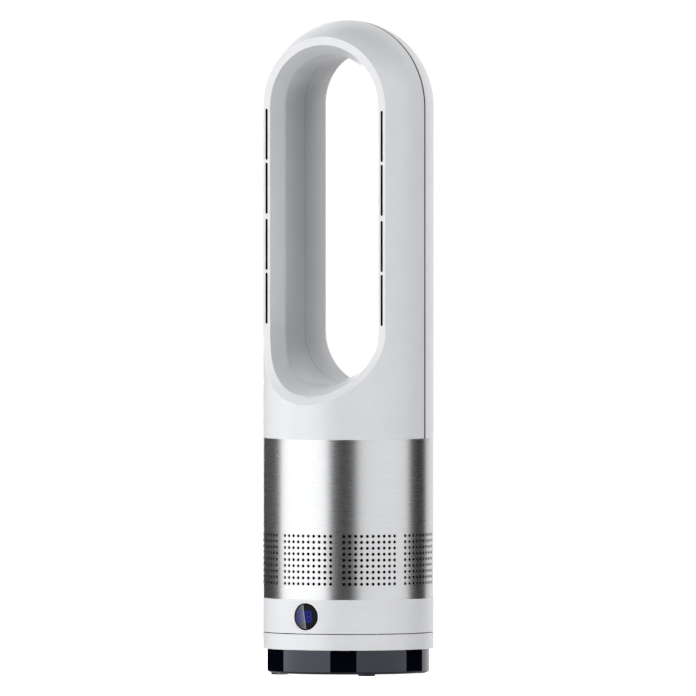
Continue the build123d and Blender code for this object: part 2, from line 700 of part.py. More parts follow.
with BuildPart() as display_bezel:
    with BuildSketch(Plane.XZ.offset(DISPLAY_BACK_Y)):
        with Locations((0, DISPLAY_Z)):
            Rectangle(2 * DISPLAY_EAR_X, DISPLAY_EAR_H)
    extrude(amount=DISPLAY_EAR_T)
    with BuildSketch(Plane.XZ.offset(DISPLAY_BACK_Y)):
        with Locations((0, DISPLAY_Z)):
            Circle(DISPLAY_R)
    extrude(amount=BODY_R - DISPLAY_BACK_Y + CUT)
    with BuildSketch(Plane.XZ.offset(LENS_SEAT_Y)):
        with Locations((0, DISPLAY_Z)):
            Circle(LENS_R + FIT)
    extrude(amount=CUT + BODY_R - LENS_SEAT_Y, mode=Mode.SUBTRACT)
    with BuildSketch(Plane.XZ.offset(DISPLAY_BACK_Y)):
        with Locations((0, DISPLAY_Z)):
            Circle(LENS_R - LENS_SHOULDER)
    extrude(amount=BODY_R, mode=Mode.SUBTRACT)
    with BuildSketch(Plane.XY):
        Circle(BODY_R)
    extrude(amount=CONTROL_Z1, mode=Mode.INTERSECT)
display_bezel.part.label = "display_bezel"
export_step(display_bezel.part, "parts/display_bezel.step")

with BuildPart() as display_lens:
    with BuildSketch(Plane.XZ):
        band(LENS_FACE_R - LENS_T, LENS_FACE_R, DISPLAY_Z - LENS_R, DISPLAY_Z + LENS_R)
    revolve(axis=Axis.Z)
    with BuildSketch(Plane.XZ):
        with Locations((0, DISPLAY_Z)):
            Circle(LENS_R)
    extrude(amount=BODY_R + CUT, mode=Mode.INTERSECT)
display_lens.part.label = "display_lens"
export_step(display_lens.part, "parts/display_lens.step")

with BuildPart() as display_board:
    with BuildSketch(Plane.XZ.offset(DISPLAY_BACK_Y - BOARD_T)):
        with Locations((0, DISPLAY_Z)):
            Circle(LENS_R)
    extrude(amount=BOARD_T)
    with BuildSketch(Plane.XZ.offset(DISPLAY_BACK_Y)):
        with Locations((0, DISPLAY_Z)):
            Rectangle(LED_W, LED_H)
    extrude(amount=LED_T)
display_board.part.label = "display_board"
export_step(display_board.part, "parts/display_board.step")

with BuildPart() as control_board:
    board_z = TABLE_Z1 + STANDOFF_H
    with BuildSketch(Plane.XY.offset(board_z)):
        Rectangle(CONTROL_BOARD_X, CONTROL_BOARD_Y)
        with standoff_places():
            Circle(SCREW_R + FIT, mode=Mode.SUBTRACT)
    extrude(amount=BOARD_T)
    with BuildSketch(Plane.XY.offset(board_z + BOARD_T)):
        Rectangle(TRANSFORMER_SIDE, TRANSFORMER_SIDE)
    extrude(amount=TRANSFORMER_H)
    with BuildSketch(Plane.XY.offset(board_z + BOARD_T)):
        with GridLocations(TRANSFORMER_SIDE + 4 * CAPACITOR_R, 1, 2, 1):
            Circle(CAPACITOR_R)
    extrude(amount=CAPACITOR_H)
    with BuildSketch(Plane.XY.offset(board_z + BOARD_T)):
        with Locations((0, (CONTROL_BOARD_Y - HEAT_SINK_W) / 2)):
            Rectangle(HEAT_SINK_L, HEAT_SINK_W)
    extrude(amount=HEAT_SINK_H)
control_board.part.label = "control_board"
export_step(control_board.part, "parts/control_board.step")

with BuildPart() as board_screws:
    with BuildSketch(Plane.XY.offset(board_z + BOARD_T)):
        with standoff_places():
            Circle(SMALL_HEAD_R)
    extrude(amount=SCREW_HEAD_H)
    with BuildSketch(Plane.XY.offset(board_z + BOARD_T - SMALL_SCREW_L)):
        with standoff_places():
            Circle(SCREW_R)
    extrude(amount=SMALL_SCREW_L)
board_screws.part.label = "board_screws"
export_step(board_screws.part, "parts/board_screws.step")


# ---------------------------------------------------------------- air intake
with BuildPart() as intake_frame:
    with BuildSketch(Plane.XZ):
        band(FRAME_CABLE_R, RING_IN_R - FIT, CONTROL_Z1 - FRAME_FLOOR_T, CONTROL_Z1)
        band(FRAME_IN_R, FRAME_R, CONTROL_Z1, FRAME_Z1)
    revolve(axis=Axis.Z)
    window_w = 2 * (FRAME_R * sin(radians(GROUP_ARC / 2)) + WINDOW_MARGIN)
    window_h = GROUP_H + 2 * WINDOW_MARGIN
    with Locations((0, 0, CONTROL_Z1 + GROUP_RISE + GROUP_H / 2)):
        with PolarLocations(FRAME_R, GROUPS, start_angle=-90):
            Box(8 * WINDOW_MARGIN, window_w, window_h, mode=Mode.SUBTRACT)
    with BuildSketch(Plane.XZ):
        band(FRAME_IN_R - STEP_W, FRAME_R, BELL_Z0 - STEP_T, BELL_Z0)
    revolve(axis=Axis.Z)
    with BuildSketch(Plane.XZ.offset(DISPLAY_BACK_Y - BOARD_T - FIT)):
        with Locations((0, DISPLAY_Z)):
            Circle(DISPLAY_R + FIT)
    extrude(amount=BODY_R, mode=Mode.SUBTRACT)
intake_frame.part.label = "intake_frame"
export_step(intake_frame.part, "parts/intake_frame.step")

# The dust screen stands inside the frame, behind the holes, and ends under the frame's step.
with BuildPart() as dust_screen:
    screen_r = FRAME_IN_R - FIT
    with BuildSketch(Plane.XZ):
        band(screen_r - SCREEN_T, screen_r, CONTROL_Z1, BELL_Z0 - STEP_T - FIT)
    revolve(axis=Axis.Z)
dust_screen.part.label = "dust_screen"
export_step(dust_screen.part, "parts/dust_screen.step")

with BuildPart() as intake_sleeve:
    with BuildSketch(Plane.XZ):
        band(SLEEVE_IN_R, SLEEVE_R, CONTROL_Z1, SLEEVE_Z1)
    revolve(axis=Axis.Z)
    row_step = GROUP_H / (HOLE_ROWS - 1)
    rows = [CONTROL_Z1 + GROUP_RISE + row * row_step for row in range(HOLE_ROWS)]
    for group in range(GROUPS):
        start = -90 - GROUP_ARC / 2 + group * 360 / GROUPS
        with Locations(*[(0, 0, row) for row in rows]):
            with PolarLocations(SLEEVE_R, HOLE_COLUMNS, start, GROUP_ARC, endpoint=True):
                Box(6 * SLEEVE_T, HOLE_SIDE, HOLE_SIDE, mode=Mode.SUBTRACT)
intake_sleeve.part.label = "intake_sleeve"
export_step(intake_sleeve.part, "parts/intake_sleeve.step")

with BuildPart() as inlet_bell:
    lip_r = INLET_R - BELL_GAP
    with BuildSketch(Plane.XZ):
        Polygon(
            (FRAME_IN_R - FIT, BELL_Z0),
            (lip_r + BELL_CONE_W, BELL_Z0),
            (lip_r - BELL_T, SHROUD_Z0),
            (lip_r, SHROUD_Z0),
            (lip_r + BELL_CONE_W, BELL_Z1),
            (FRAME_IN_R - FIT, BELL_Z1),
            align=None,
        )
    revolve(axis=Axis.Z)
inlet_bell.part.label = "inlet_bell"
export_step(inlet_bell.part, "parts/inlet_bell.step")


# ---------------------------------------------------------------- fan unit
with BuildPart() as isolators:
    with BuildSketch(Plane.XY.offset(BELL_Z1)):
        with isolator_places():
            Circle(ISOLATOR_R)
    extrude(amount=ISOLATOR_H)
    with BuildSketch(Plane.XY.offset(BELL_Z1 + ISOLATOR_H / 3)):
        with isolator_places():
            Circle(ISOLATOR_R)
            Circle(ISOLATOR_R - ISOLATOR_WAIST, mode=Mode.SUBTRACT)
    extrude(amount=ISOLATOR_H / 3, mode=Mode.SUBTRACT)
isolators.part.label = "isolators"
export_step(isolators.part, "parts/isolators.step")

with BuildPart() as impeller_shroud:
    slope = (DUCT_R - INLET_R) / SHROUD_H
    flange_z = SHROUD_Z0 + SHROUD_FLANGE_T
    with BuildSketch(Plane.XZ):
        Polygon(
            (INLET_R, SHROUD_Z0),
            (DUCT_R, DIFFUSER_Z0),
            (DUCT_R + DUCT_WALL, DIFFUSER_Z0),
            (INLET_R + DUCT_WALL + slope * SHROUD_FLANGE_T, flange_z),
            (FLANGE_R, flange_z),
            (FLANGE_R, SHROUD_Z0),
            align=None,
        )
    revolve(axis=Axis.Z)
impeller_shroud.part.label = "impeller_shroud"
export_step(impeller_shroud.part, "parts/impeller_shroud.step")

with BuildPart() as diffuser:
    with BuildSketch(Plane.XZ):
        band(DUCT_R, DUCT_R + DUCT_WALL, DIFFUSER_Z0, DIFFUSER_Z1)
        band(BUCKET_IN_R, BUCKET_R, DIFFUSER_Z0, DIFFUSER_Z1)
        band(SHAFT_R + 2 * OPEN_GAP, BUCKET_R, DIFFUSER_Z0, BEARING_LOW_Z)
        band(BEARING_R + FIT, BEARING_R + FIT + BEARING_BOSS_WALL, DIFFUSER_Z0, BEARING_LOW_Z + BEARING_H)
        band(BUCKET_IN_R - SHOULDER_W, BUCKET_R, DIFFUSER_Z0, STATOR_Z0)
    revolve(axis=Axis.Z)
    vane_l = DUCT_R - BUCKET_R + DUCT_WALL
    with Locations((0, 0, (DIFFUSER_Z0 + DIFFUSER_Z1) / 2)):
        with PolarLocations((DUCT_R + BUCKET_R) / 2, VANE_COUNT, start_angle=-90):
            Box(vane_l, VANE_T, DIFFUSER_H)
diffuser.part.label = "diffuser"
export_step(diffuser.part, "parts/diffuser.step")

with BuildPart() as motor_stator:
    with BuildSketch(Plane.XZ):
        band(ROTOR_R + AIR_GAP, STATOR_R, STATOR_Z0, STATOR_Z0 + STATOR_H)
    revolve(axis=Axis.Z)
motor_stator.part.label = "motor_stator"
export_step(motor_stator.part, "parts/motor_stator.step")

with BuildPart() as motor_plate:
    with BuildSketch(Plane.XZ):
        band(SHAFT_R + 2 * OPEN_GAP, BUCKET_R, DIFFUSER_Z1, PLATE_Z1)
        band(BEARING_R + FIT, BEARING_R + FIT + BEARING_BOSS_WALL, BEARING_HIGH_Z, PLATE_Z1)
    revolve(axis=Axis.Z)
motor_plate.part.label = "motor_plate"
export_step(motor_plate.part, "parts/motor_plate.step")

with BuildPart() as motor_cap:
    with BuildSketch(Plane.XZ):
        Polygon(
            (BUCKET_R - CAP_WALL, PLATE_Z1),
            (BUCKET_R, PLATE_Z1),
            (CAP_TOP_R, PLATE_Z1 + CAP_H),
            (0, PLATE_Z1 + CAP_H),
            (0, PLATE_Z1 + CAP_H - CAP_WALL),
            (CAP_TOP_R - CAP_WALL, PLATE_Z1 + CAP_H - CAP_WALL),
            align=None,
        )
    revolve(axis=Axis.Z)
motor_cap.part.label = "motor_cap"
export_step(motor_cap.part, "parts/motor_cap.step")

with BuildPart() as lower_bearing:
    with BuildSketch(Plane.XZ):
        band(SHAFT_R + RUN_FIT, BEARING_R, BEARING_LOW_Z, BEARING_LOW_Z + BEARING_H)
    revolve(axis=Axis.Z)
lower_bearing.part.label = "lower_bearing"
export_step(lower_bearing.part, "parts/lower_bearing.step")

with BuildPart() as upper_bearing:
    with BuildSketch(Plane.XZ):
        band(SHAFT_R + RUN_FIT, BEARING_R, BEARING_HIGH_Z, DIFFUSER_Z1)
    revolve(axis=Axis.Z)
upper_bearing.part.label = "upper_bearing"
export_step(upper_bearing.part, "parts/upper_bearing.step")

with BuildPart() as motor_rotor:
    with BuildSketch(Plane.XZ):
        band(0, SHAFT_R, NUT_Z0, PLATE_Z1)
        band(0, ROTOR_R, STATOR_Z0, STATOR_Z0 + ROTOR_H)
    revolve(axis=Axis.Z)
motor_rotor.part.label = "motor_rotor"
export_step(motor_rotor.part, "parts/motor_rotor.step")

with BuildPart() as impeller:
    hub_z = IMPELLER_Z1 - IMPELLER_BACK_T
    with BuildSketch(Plane.XY.offset(IMPELLER_Z0)):
        with PolarLocations(IMPELLER_NOSE_R / 2, BLADE_COUNT):
            Rectangle(
                DUCT_R,
                BLADE_T,
                rotation=BLADE_SWEEP,
                align=(Align.MIN, Align.CENTER),
            )
    extrude(amount=IMPELLER_H)
    with BuildSketch(Plane.XZ):
        Polygon(
            (0, IMPELLER_Z0),
            (INLET_R + slope * (IMPELLER_Z0 - SHROUD_Z0) - TIP_GAP, IMPELLER_Z0),
            (INLET_R + slope * (IMPELLER_Z1 - SHROUD_Z0) - TIP_GAP, IMPELLER_Z1),
            (0, IMPELLER_Z1),
            align=None,
        )
    revolve(axis=Axis.Z, mode=Mode.INTERSECT)
    with BuildSketch(Plane.XZ):
        Polygon(
            (0, IMPELLER_Z0),
            (IMPELLER_NOSE_R, IMPELLER_Z0),
            (IMPELLER_HUB_R, hub_z),
            (IMPELLER_HUB_R, IMPELLER_Z1),
            (0, IMPELLER_Z1),
            align=None,
        )
    revolve(axis=Axis.Z)
    with BuildSketch(Plane.XY.offset(IMPELLER_Z0)):
        Circle(SHAFT_R + THREAD_FIT)
    extrude(amount=IMPELLER_H, mode=Mode.SUBTRACT)
impeller.part.label = "impeller"
export_step(impeller.part, "parts/impeller.step")

with BuildPart() as impeller_nut:
    with BuildSketch(Plane.XY.offset(NUT_Z0)):
        RegularPolygon(NUT_R, 6)
        Circle(SHAFT_R + THREAD_FIT, mode=Mode.SUBTRACT)
    extrude(amount=NUT_H)
impeller_nut.part.label = "impeller_nut"
export_step(impeller_nut.part, "parts/impeller_nut.step")

with BuildPart() as neck_seal:
    with BuildSketch(Plane.XZ):
        band(DUCT_R, DUCT_R + DUCT_WALL, DIFFUSER_Z1, FUNNEL_Z0)
    revolve(axis=Axis.Z)
neck_seal.part.label = "neck_seal"
export_step(neck_seal.part, "parts/neck_seal.step")

with BuildPart() as neck_funnel:
    spigot_r = RING_IN_R - FIT
    mouth_r = spigot_r - SPIGOT_WALL
    with BuildSketch(Plane.XZ):
        Polygon(
            (DUCT_R, FUNNEL_Z0),
            (DUCT_R + FUNNEL_WALL, FUNNEL_Z0),
            (mouth_r, FRAME_Z1),
            (FRAME_R, FRAME_Z1),
            (FRAME_R, SLEEVE_Z1),
            (spigot_r, SLEEVE_Z1),
            (spigot_r, SLEEVE_Z1 + SPIGOT_H),
            (mouth_r, SLEEVE_Z1 + SPIGOT_H),
            (mouth_r, SLEEVE_Z1),
            align=None,
        )
    revolve(axis=Axis.Z)
neck_funnel.part.label = "neck_funnel"
export_step(neck_funnel.part, "parts/neck_funnel.step")


# ---------------------------------------------------------------- loop
FRONT_EDGE_Y = SHELL_SEAM_Y - SHELL_GAP / 2
REAR_EDGE_Y = SHELL_SEAM_Y + SHELL_GAP / 2
loop_outer = loop_form(0)
loop_hollow = loop_form(SHELL_WALL)
rib_outer = loop_form(SHELL_WALL / 2, flared=False)
tongue_outer = loop_form(SHELL_WALL + FIT, flared=False)
tongue_inner = loop_form(SHELL_WALL + TONGUE_T, flared=False)


def seam_strip(outer, y0, y1):
    """The wall between outer and tongue_inner from y0 to y1, above the funnel's spigot."""
    with BuildPart() as strip:
        add(outer.part)
        add(tongue_inner.part, mode=Mode.SUBTRACT)
        split(bisect_by=Plane.XZ.offset(-y0), keep=Keep.BOTTOM)
        split(bisect_by=Plane.XZ.offset(-y1), keep=Keep.TOP)
        split(bisect_by=Plane.XY.offset(SLEEVE_Z1 + SPIGOT_H + OPEN_GAP), keep=Keep.TOP)
    return strip


# The tongue stands on a rib along the rear shell's edge, reaches into the front shell and closes
# the shadow gap from inside.
seam_rib = seam_strip(rib_outer, REAR_EDGE_Y, REAR_EDGE_Y + TONGUE_T)
seam_tongue = seam_strip(tongue_outer, FRONT_EDGE_Y - TONGUE_REACH, REAR_EDGE_Y)

with BuildPart() as loop_front_shell:
    add(loop_outer.part)
    add(loop_hollow.part, mode=Mode.SUBTRACT)
    split(bisect_by=Plane.XZ.offset(-FRONT_EDGE_Y), keep=Keep.TOP)
    with BuildSketch(Plane.XZ.offset(FACE_Y - SHELL_WALL - CUT / 2)):
        for side in (-1, 1):
            with Locations(*[(side * SLOT_X, SLOT_Z + offset) for offset in SLOT_OFFSETS]):
                SlotOverall(SLOT_L, SLOT_W, rotation=90)
    extrude(amount=SHELL_WALL + CUT, mode=Mode.SUBTRACT)
loop_front_shell.part.label = "loop_front_shell"
export_step(loop_front_shell.part, "parts/loop_front_shell.step")

with BuildPart() as loop_rear_shell:
    add(loop_outer.part)
    add(loop_hollow.part, mode=Mode.SUBTRACT)
    split(bisect_by=Plane.XZ.offset(-REAR_EDGE_Y), keep=Keep.BOTTOM)
    add(seam_rib.part)
    add(seam_tongue.part)
loop_rear_shell.part.label = "loop_rear_shell"
export_step(loop_rear_shell.part, "parts/loop_rear_shell.step")


def nozzle(side):
    """Black liner behind the four slots of one side of the band. Its channels narrow to the slots."""
    front_y = FACE_Y - SHELL_WALL
    with BuildPart() as liner:
        with BuildSketch(Plane.XZ.offset(front_y)):
            with Locations((side * SLOT_X, SLOT_Z)):
                Rectangle(NOZZLE_W, SLOT_GROUP_L + 2 * NOZZLE_END)
        extrude(amount=-NOZZLE_DEPTH)
        for offset in SLOT_OFFSETS:
            with BuildSketch(Plane.XZ.offset(front_y)):
                with Locations((side * SLOT_X, SLOT_Z + offset)):
                    Rectangle(SLOT_W, SLOT_L)
            with BuildSketch(Plane.XZ.offset(front_y - NOZZLE_DEPTH)):
                with Locations((side * SLOT_X, SLOT_Z + offset)):
                    Rectangle(NOZZLE_W - 2 * NOZZLE_LIP, SLOT_L)
            loft(mode=Mode.SUBTRACT)
    return liner


nozzle_left = nozzle(-1)
nozzle_left.part.label = "nozzle_left"
export_step(nozzle_left.part, "parts/nozzle_left.step")

nozzle_right = nozzle(1)
nozzle_right.part.label = "nozzle_right"
export_step(nozzle_right.part, "parts/nozzle_right.step")
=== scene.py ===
"""The bladeless tower fan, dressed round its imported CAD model."""
import json
import math

import bmesh
import bpy
import numpy as np
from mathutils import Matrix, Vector

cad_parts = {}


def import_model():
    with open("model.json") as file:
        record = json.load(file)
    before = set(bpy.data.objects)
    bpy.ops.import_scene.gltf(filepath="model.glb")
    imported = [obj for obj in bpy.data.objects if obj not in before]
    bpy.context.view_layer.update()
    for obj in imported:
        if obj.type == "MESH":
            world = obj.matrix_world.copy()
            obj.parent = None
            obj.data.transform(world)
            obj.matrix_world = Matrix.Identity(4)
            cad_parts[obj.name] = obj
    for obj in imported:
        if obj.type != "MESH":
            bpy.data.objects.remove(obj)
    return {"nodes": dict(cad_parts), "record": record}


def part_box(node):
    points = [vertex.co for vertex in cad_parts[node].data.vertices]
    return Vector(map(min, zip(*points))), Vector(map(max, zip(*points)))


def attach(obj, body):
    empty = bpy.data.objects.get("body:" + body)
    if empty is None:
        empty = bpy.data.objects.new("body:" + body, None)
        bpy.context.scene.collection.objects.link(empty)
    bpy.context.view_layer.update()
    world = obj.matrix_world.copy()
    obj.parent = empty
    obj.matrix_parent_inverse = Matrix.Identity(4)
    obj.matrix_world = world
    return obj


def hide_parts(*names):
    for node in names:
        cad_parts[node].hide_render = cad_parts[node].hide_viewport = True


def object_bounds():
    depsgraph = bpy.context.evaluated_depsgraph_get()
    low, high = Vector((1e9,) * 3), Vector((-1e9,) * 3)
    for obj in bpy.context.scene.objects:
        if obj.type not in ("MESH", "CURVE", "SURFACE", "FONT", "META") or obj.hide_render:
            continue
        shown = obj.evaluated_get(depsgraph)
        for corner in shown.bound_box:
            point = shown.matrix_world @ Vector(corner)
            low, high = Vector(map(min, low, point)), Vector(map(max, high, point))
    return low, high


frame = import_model()
cad_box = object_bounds()

# Lengths are in millimetres, but the grain, the floor, the lights and the camera are in metres.
MM = 0.001


def edge_of(node_name, end, axis):
    """Where a CAD node's box ends along an axis: its low corner is end 0 and its high corner end 1."""
    return round(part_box(node_name)[end][axis] / MM, 2)


# ---------------------------------------------------------------- sizes of the tower
BODY_R = edge_of("control_ring", 1, 0)
SLEEVE_R = edge_of("intake_sleeve", 1, 0)
SLEEVE_Z0 = edge_of("intake_sleeve", 0, 2)
SLEEVE_Z1 = edge_of("intake_sleeve", 1, 2)
SLEEVE_WALL = 0.8
LOW_Z = SLEEVE_Z1 + 122.7  # centre of the hole's lower arc
DOME_Z = round(cad_box[1][2] / MM, 2) - BODY_R  # centre of its upper arc
DISPLAY_Z = (edge_of("display_lens", 0, 2) + edge_of("display_lens", 1, 2)) / 2

# the loop's section
FACE_Y = 56.5  # the front and rear faces, off the axis
BAND_W = 9.6
FLARE_W = 11.4
FLARE_DEPTH = 17.5
BAND_OUT_R = math.sqrt(BODY_R**2 - FACE_Y**2)
BAND_IN_R = BAND_OUT_R - BAND_W
THROAT_R = BAND_IN_R - FLARE_W
THROAT_FRONT_Y, THROAT_REAR_Y = -20.0, 30.0  # rows of points inside the throat
FLARE_BEND_R = 6.0  # where the flare bends into the throat
FLARE_BEND_LOW = 44.0  # added to that radius at the bottom of the hole
LIP_DEPTH, LIP_RISE = 5.5, 1.15  # curved lip at the hole's rear edge
REAR_SCOOP_Z = LOW_Z - 64.5
REAR_SCOOP_R = 50.0
SHELL_WALL = 2.5
FRONT_BEVEL, REAR_BEVEL = 0.2, 0.3
EDGE_ANGLE = 28.0  # edges that turn by more are bevelled
SLIVER = 0.004  # points that lie closer are joined
ARC_STEPS = 60
FRONT_RIM_STEPS, REAR_RIM_STEPS = 10, 8
BAND_STEPS, BEND_STEPS, LIP_STEPS = 3, 6, 4
COLUMN_ROWS = 6  # rows of faces from the loop down to the steel

# the seam between the shells, from the front shell's edge to the rear shell's
SEAM_OUTSIDE = 4.7, 7.9
SEAM_HOLE = 5.05, 5.85
# Dark strips fill the seams just under the surface: their dark colour is painted shade that stands in for
# the shadow in a deep groove.
SHADE_STRIP_GAP = 0.02
SHADE_STRIP_SINK = 0.1
SHADE_STRIP_T = 1.8
SHADE_STRIP_BEVEL = 0.02
SHADE_STRIP_LIFT = 0.1  # above the sleeve
TONGUE_REACH = 4.0
TONGUE_T = 1.2
TONGUE_GAP = 0.1  # behind the shell's wall
TONGUE_BEVEL = 0.2
TONGUE_LIFT = 1.0  # above the sleeve

# the slots in the band
SLOT_W = 2.9
SLOT_TOP, SLOT_LOW = DOME_Z - 2.8, LOW_Z + 10.3
SLOT_RIB, SLOT_MIDDLE_RIB = 3.2, 5.8
SLOT_L = (SLOT_TOP - SLOT_LOW - SLOT_MIDDLE_RIB - 2 * SLOT_RIB) / 4
SLOT_END_STEPS = 8
LINER_GAP = 0.02
LINER_WALL = 0.2
LINER_SINK = 0.16
LINER_REACH = 0.3  # past the shell's wall

# the display's window: its tint, and a painted glare that ends in a painted highlight
FILM_R = 14.5  # the rim outside it is black
GLARE_EDGE_X = -1.32  # the edge of the painted highlight, level with the display's centre
GLARE_SLANT = 0.1414  # sideways run of that edge for its rise
FILM_SPAN = 16.0  # half the window's width
GLOW_X = -2.4  # the middle of the two digits
GLOW_LEVEL = 0.075


# ---------------------------------------------------------------- materials
MIX_SHARE, MIX_A, MIX_B, MIX_RESULT = 0, 6, 7, 2  # a colour mix node's sockets


def shader_of(made):
    """The shader that a new material starts with."""
    return made.node_tree.nodes["Principled BSDF"]


def material(name):
    """A new node material, its Principled shader and its tree."""
    made = bpy.data.materials.new(name)
    made.use_nodes = True
    return made, shader_of(made), made.node_tree


def node(tree, kind, **values):
    """A node of that kind with its properties set, and its inputs where the name is an input's."""
    made = tree.nodes.new(kind)
    for key, value in values.items():
        if key in made.inputs:
            made.inputs[key].default_value = value
        else:
            setattr(made, key, value)
    return made


def noise(tree, scale, stretch=(1, 1, 1), detail=4.0):
    """Noise in object space, stretched along the axes."""
    coordinates = node(tree, "ShaderNodeTexCoord")
    mapping = node(tree, "ShaderNodeMapping", Scale=stretch)
    made = node(tree, "ShaderNodeTexNoise", Scale=scale, Detail=detail)
    tree.links.new(coordinates.outputs["Object"], mapping.inputs["Vector"])
    tree.links.new(mapping.outputs["Vector"], made.inputs["Vector"])
    return made.outputs["Fac"]


def spread(tree, value, low, high):
    """Maps noise of about 0.3 to 0.7 onto low to high."""
    made = node(tree, "ShaderNodeMapRange")
    for key, number in (("From Min", 0.3), ("From Max", 0.7), ("To Min", low), ("To Max", high)):
        made.inputs[key].default_value = number
    tree.links.new(value, made.inputs["Value"])
    return made.outputs["Result"]


def tint(tree, value, low, high):
    """Mixes two colours by noise."""
    made = node(tree, "ShaderNodeMix", data_type="RGBA")
    made.inputs[MIX_A].default_value = (*low, 1)
    made.inputs[MIX_B].default_value = (*high, 1)
    tree.links.new(spread(tree, value, 0, 1), made.inputs[MIX_SHARE])
    return made.outputs[MIX_RESULT]


def relief(tree, shader, height, strength, depth):
    """Lifts the surface by a height."""
    made = node(tree, "ShaderNodeBump", Strength=strength, Distance=depth)
    tree.links.new(height, made.inputs["Height"])
    tree.links.new(made.outputs["Normal"], shader.inputs["Normal"])


def maths(tree, operation, a, b=0.0):
    """A maths node of two sockets or numbers."""
    made = node(tree, "ShaderNodeMath", operation=operation)
    for slot, value in zip(made.inputs, (a, b)):
        if isinstance(value, (int, float)):
            slot.default_value = value
        else:
            tree.links.new(value, slot)
    return made.outputs[0]


def ramp(tree, value, low, high, stops):
    """A grey that follows the value through stops of (value, grey)."""
    made = node(tree, "ShaderNodeValToRGB")
    while len(made.color_ramp.elements) < len(stops):
        made.color_ramp.elements.new(1.0)
    for element, (at, grey) in zip(made.color_ramp.elements, stops):
        element.position = (at - low) / (high - low)
        element.color = (grey, grey, grey, 1)
    share = maths(tree, "DIVIDE", maths(tree, "SUBTRACT", value, low), high - low)
    tree.links.new(share, made.inputs[0])
    return made.outputs[0]


def window_place(tree):
    """How far a point of the display lies to the right of its centre and above it."""
    coordinates = node(tree, "ShaderNodeTexCoord")
    axes = node(tree, "ShaderNodeSeparateXYZ")
    tree.links.new(coordinates.outputs["Object"], axes.inputs[0])
    height = maths(tree, "MULTIPLY", axes.outputs["Z"], 1 / MM)
    return maths(tree, "MULTIPLY", axes.outputs["X"], 1 / MM), maths(tree, "SUBTRACT", height, DISPLAY_Z)


def window_tint_and_painted_glare(tree, shader):
    """The display's window: a black rim, a dark half, and a paler half of painted glare that ends in a
    painted highlight along a slanting edge.
    """
    x, z = window_place(tree)
    slant = maths(tree, "ADD", x, maths(tree, "MULTIPLY", z, GLARE_SLANT))
    side = maths(tree, "SUBTRACT", slant, GLARE_EDGE_X)
    squares = maths(tree, "ADD", maths(tree, "MULTIPLY", x, x), maths(tree, "MULTIPLY", z, z))
    inside = maths(tree, "LESS_THAN", maths(tree, "SQRT", squares), FILM_R)
    # Painted glare: the grey rises towards the slanting edge and ends in a painted highlight line, and
    # that half is given more gloss.
    painted_glare_half = [(-14.0, 0.012), (-9.0, 0.03), (-3.0, 0.10), (-1.1, 0.15)]
    painted_highlight_edge = [(-0.75, 0.34), (-0.2, 0.34), (0.0, 0.003)]
    shade = ramp(tree, side, -FILM_SPAN, FILM_SPAN, painted_glare_half + painted_highlight_edge)
    gloss = ramp(tree, side, -FILM_SPAN, FILM_SPAN, [(-14.0, 0.2), (-0.3, 0.26), (0.0, 0.07)])
    wander = spread(tree, noise(tree, 300.0), 0.92, 1.08)
    grey = maths(tree, "MULTIPLY", maths(tree, "MULTIPLY", shade, wander), inside)
    colour = node(tree, "ShaderNodeCombineColor")
    for channel, share in enumerate((0.97, 1.0, 1.06)):
        tree.links.new(maths(tree, "MULTIPLY", grey, share), colour.inputs[channel])
    tree.links.new(colour.outputs[0], shader.inputs["Base Color"])
    specular = maths(tree, "ADD", maths(tree, "MULTIPLY", gloss, inside), 0.01)
    tree.links.new(specular, shader.inputs["Specular IOR Level"])


def window_glow(tree, shader):
    """The faint blue haze round the lit digits."""
    x, z = window_place(tree)
    beside = maths(tree, "ABSOLUTE", maths(tree, "SUBTRACT", x, GLOW_X))
    across = ramp(tree, beside, 0.0, FILM_SPAN, [(7.0, 1.0), (12.0, 0.0)])
    up = ramp(tree, maths(tree, "ABSOLUTE", z), 0.0, FILM_SPAN, [(5.5, 1.0), (9.0, 0.0)])
    shader.inputs["Emission Color"].default_value = (0.01, 0.06, 1.0, 1)
    strength = maths(tree, "MULTIPLY", maths(tree, "MULTIPLY", across, up), GLOW_LEVEL)
    tree.links.new(strength, shader.inputs["Emission Strength"])


def surface(name, low, high, rough, scale=40.0, stretch=(1, 1, 1), grain=900.0, grain_stretch=(1, 1, 1),
            bump=0.02, depth=0.0001, metallic=0.0):
    """A moulded, rubber or metal surface: tint and roughness wander, and a fine grain lifts it."""
    made, shader, tree = material(name)
    wander = noise(tree, scale, stretch)
    tree.links.new(tint(tree, wander, low, high), shader.inputs["Base Color"])
    fine = noise(tree, grain, grain_stretch, 3.0)
    tree.links.new(spread(tree, fine, *rough), shader.inputs["Roughness"])
    relief(tree, shader, fine, bump, depth)
    shader.inputs["Metallic"].default_value = metallic
    return made


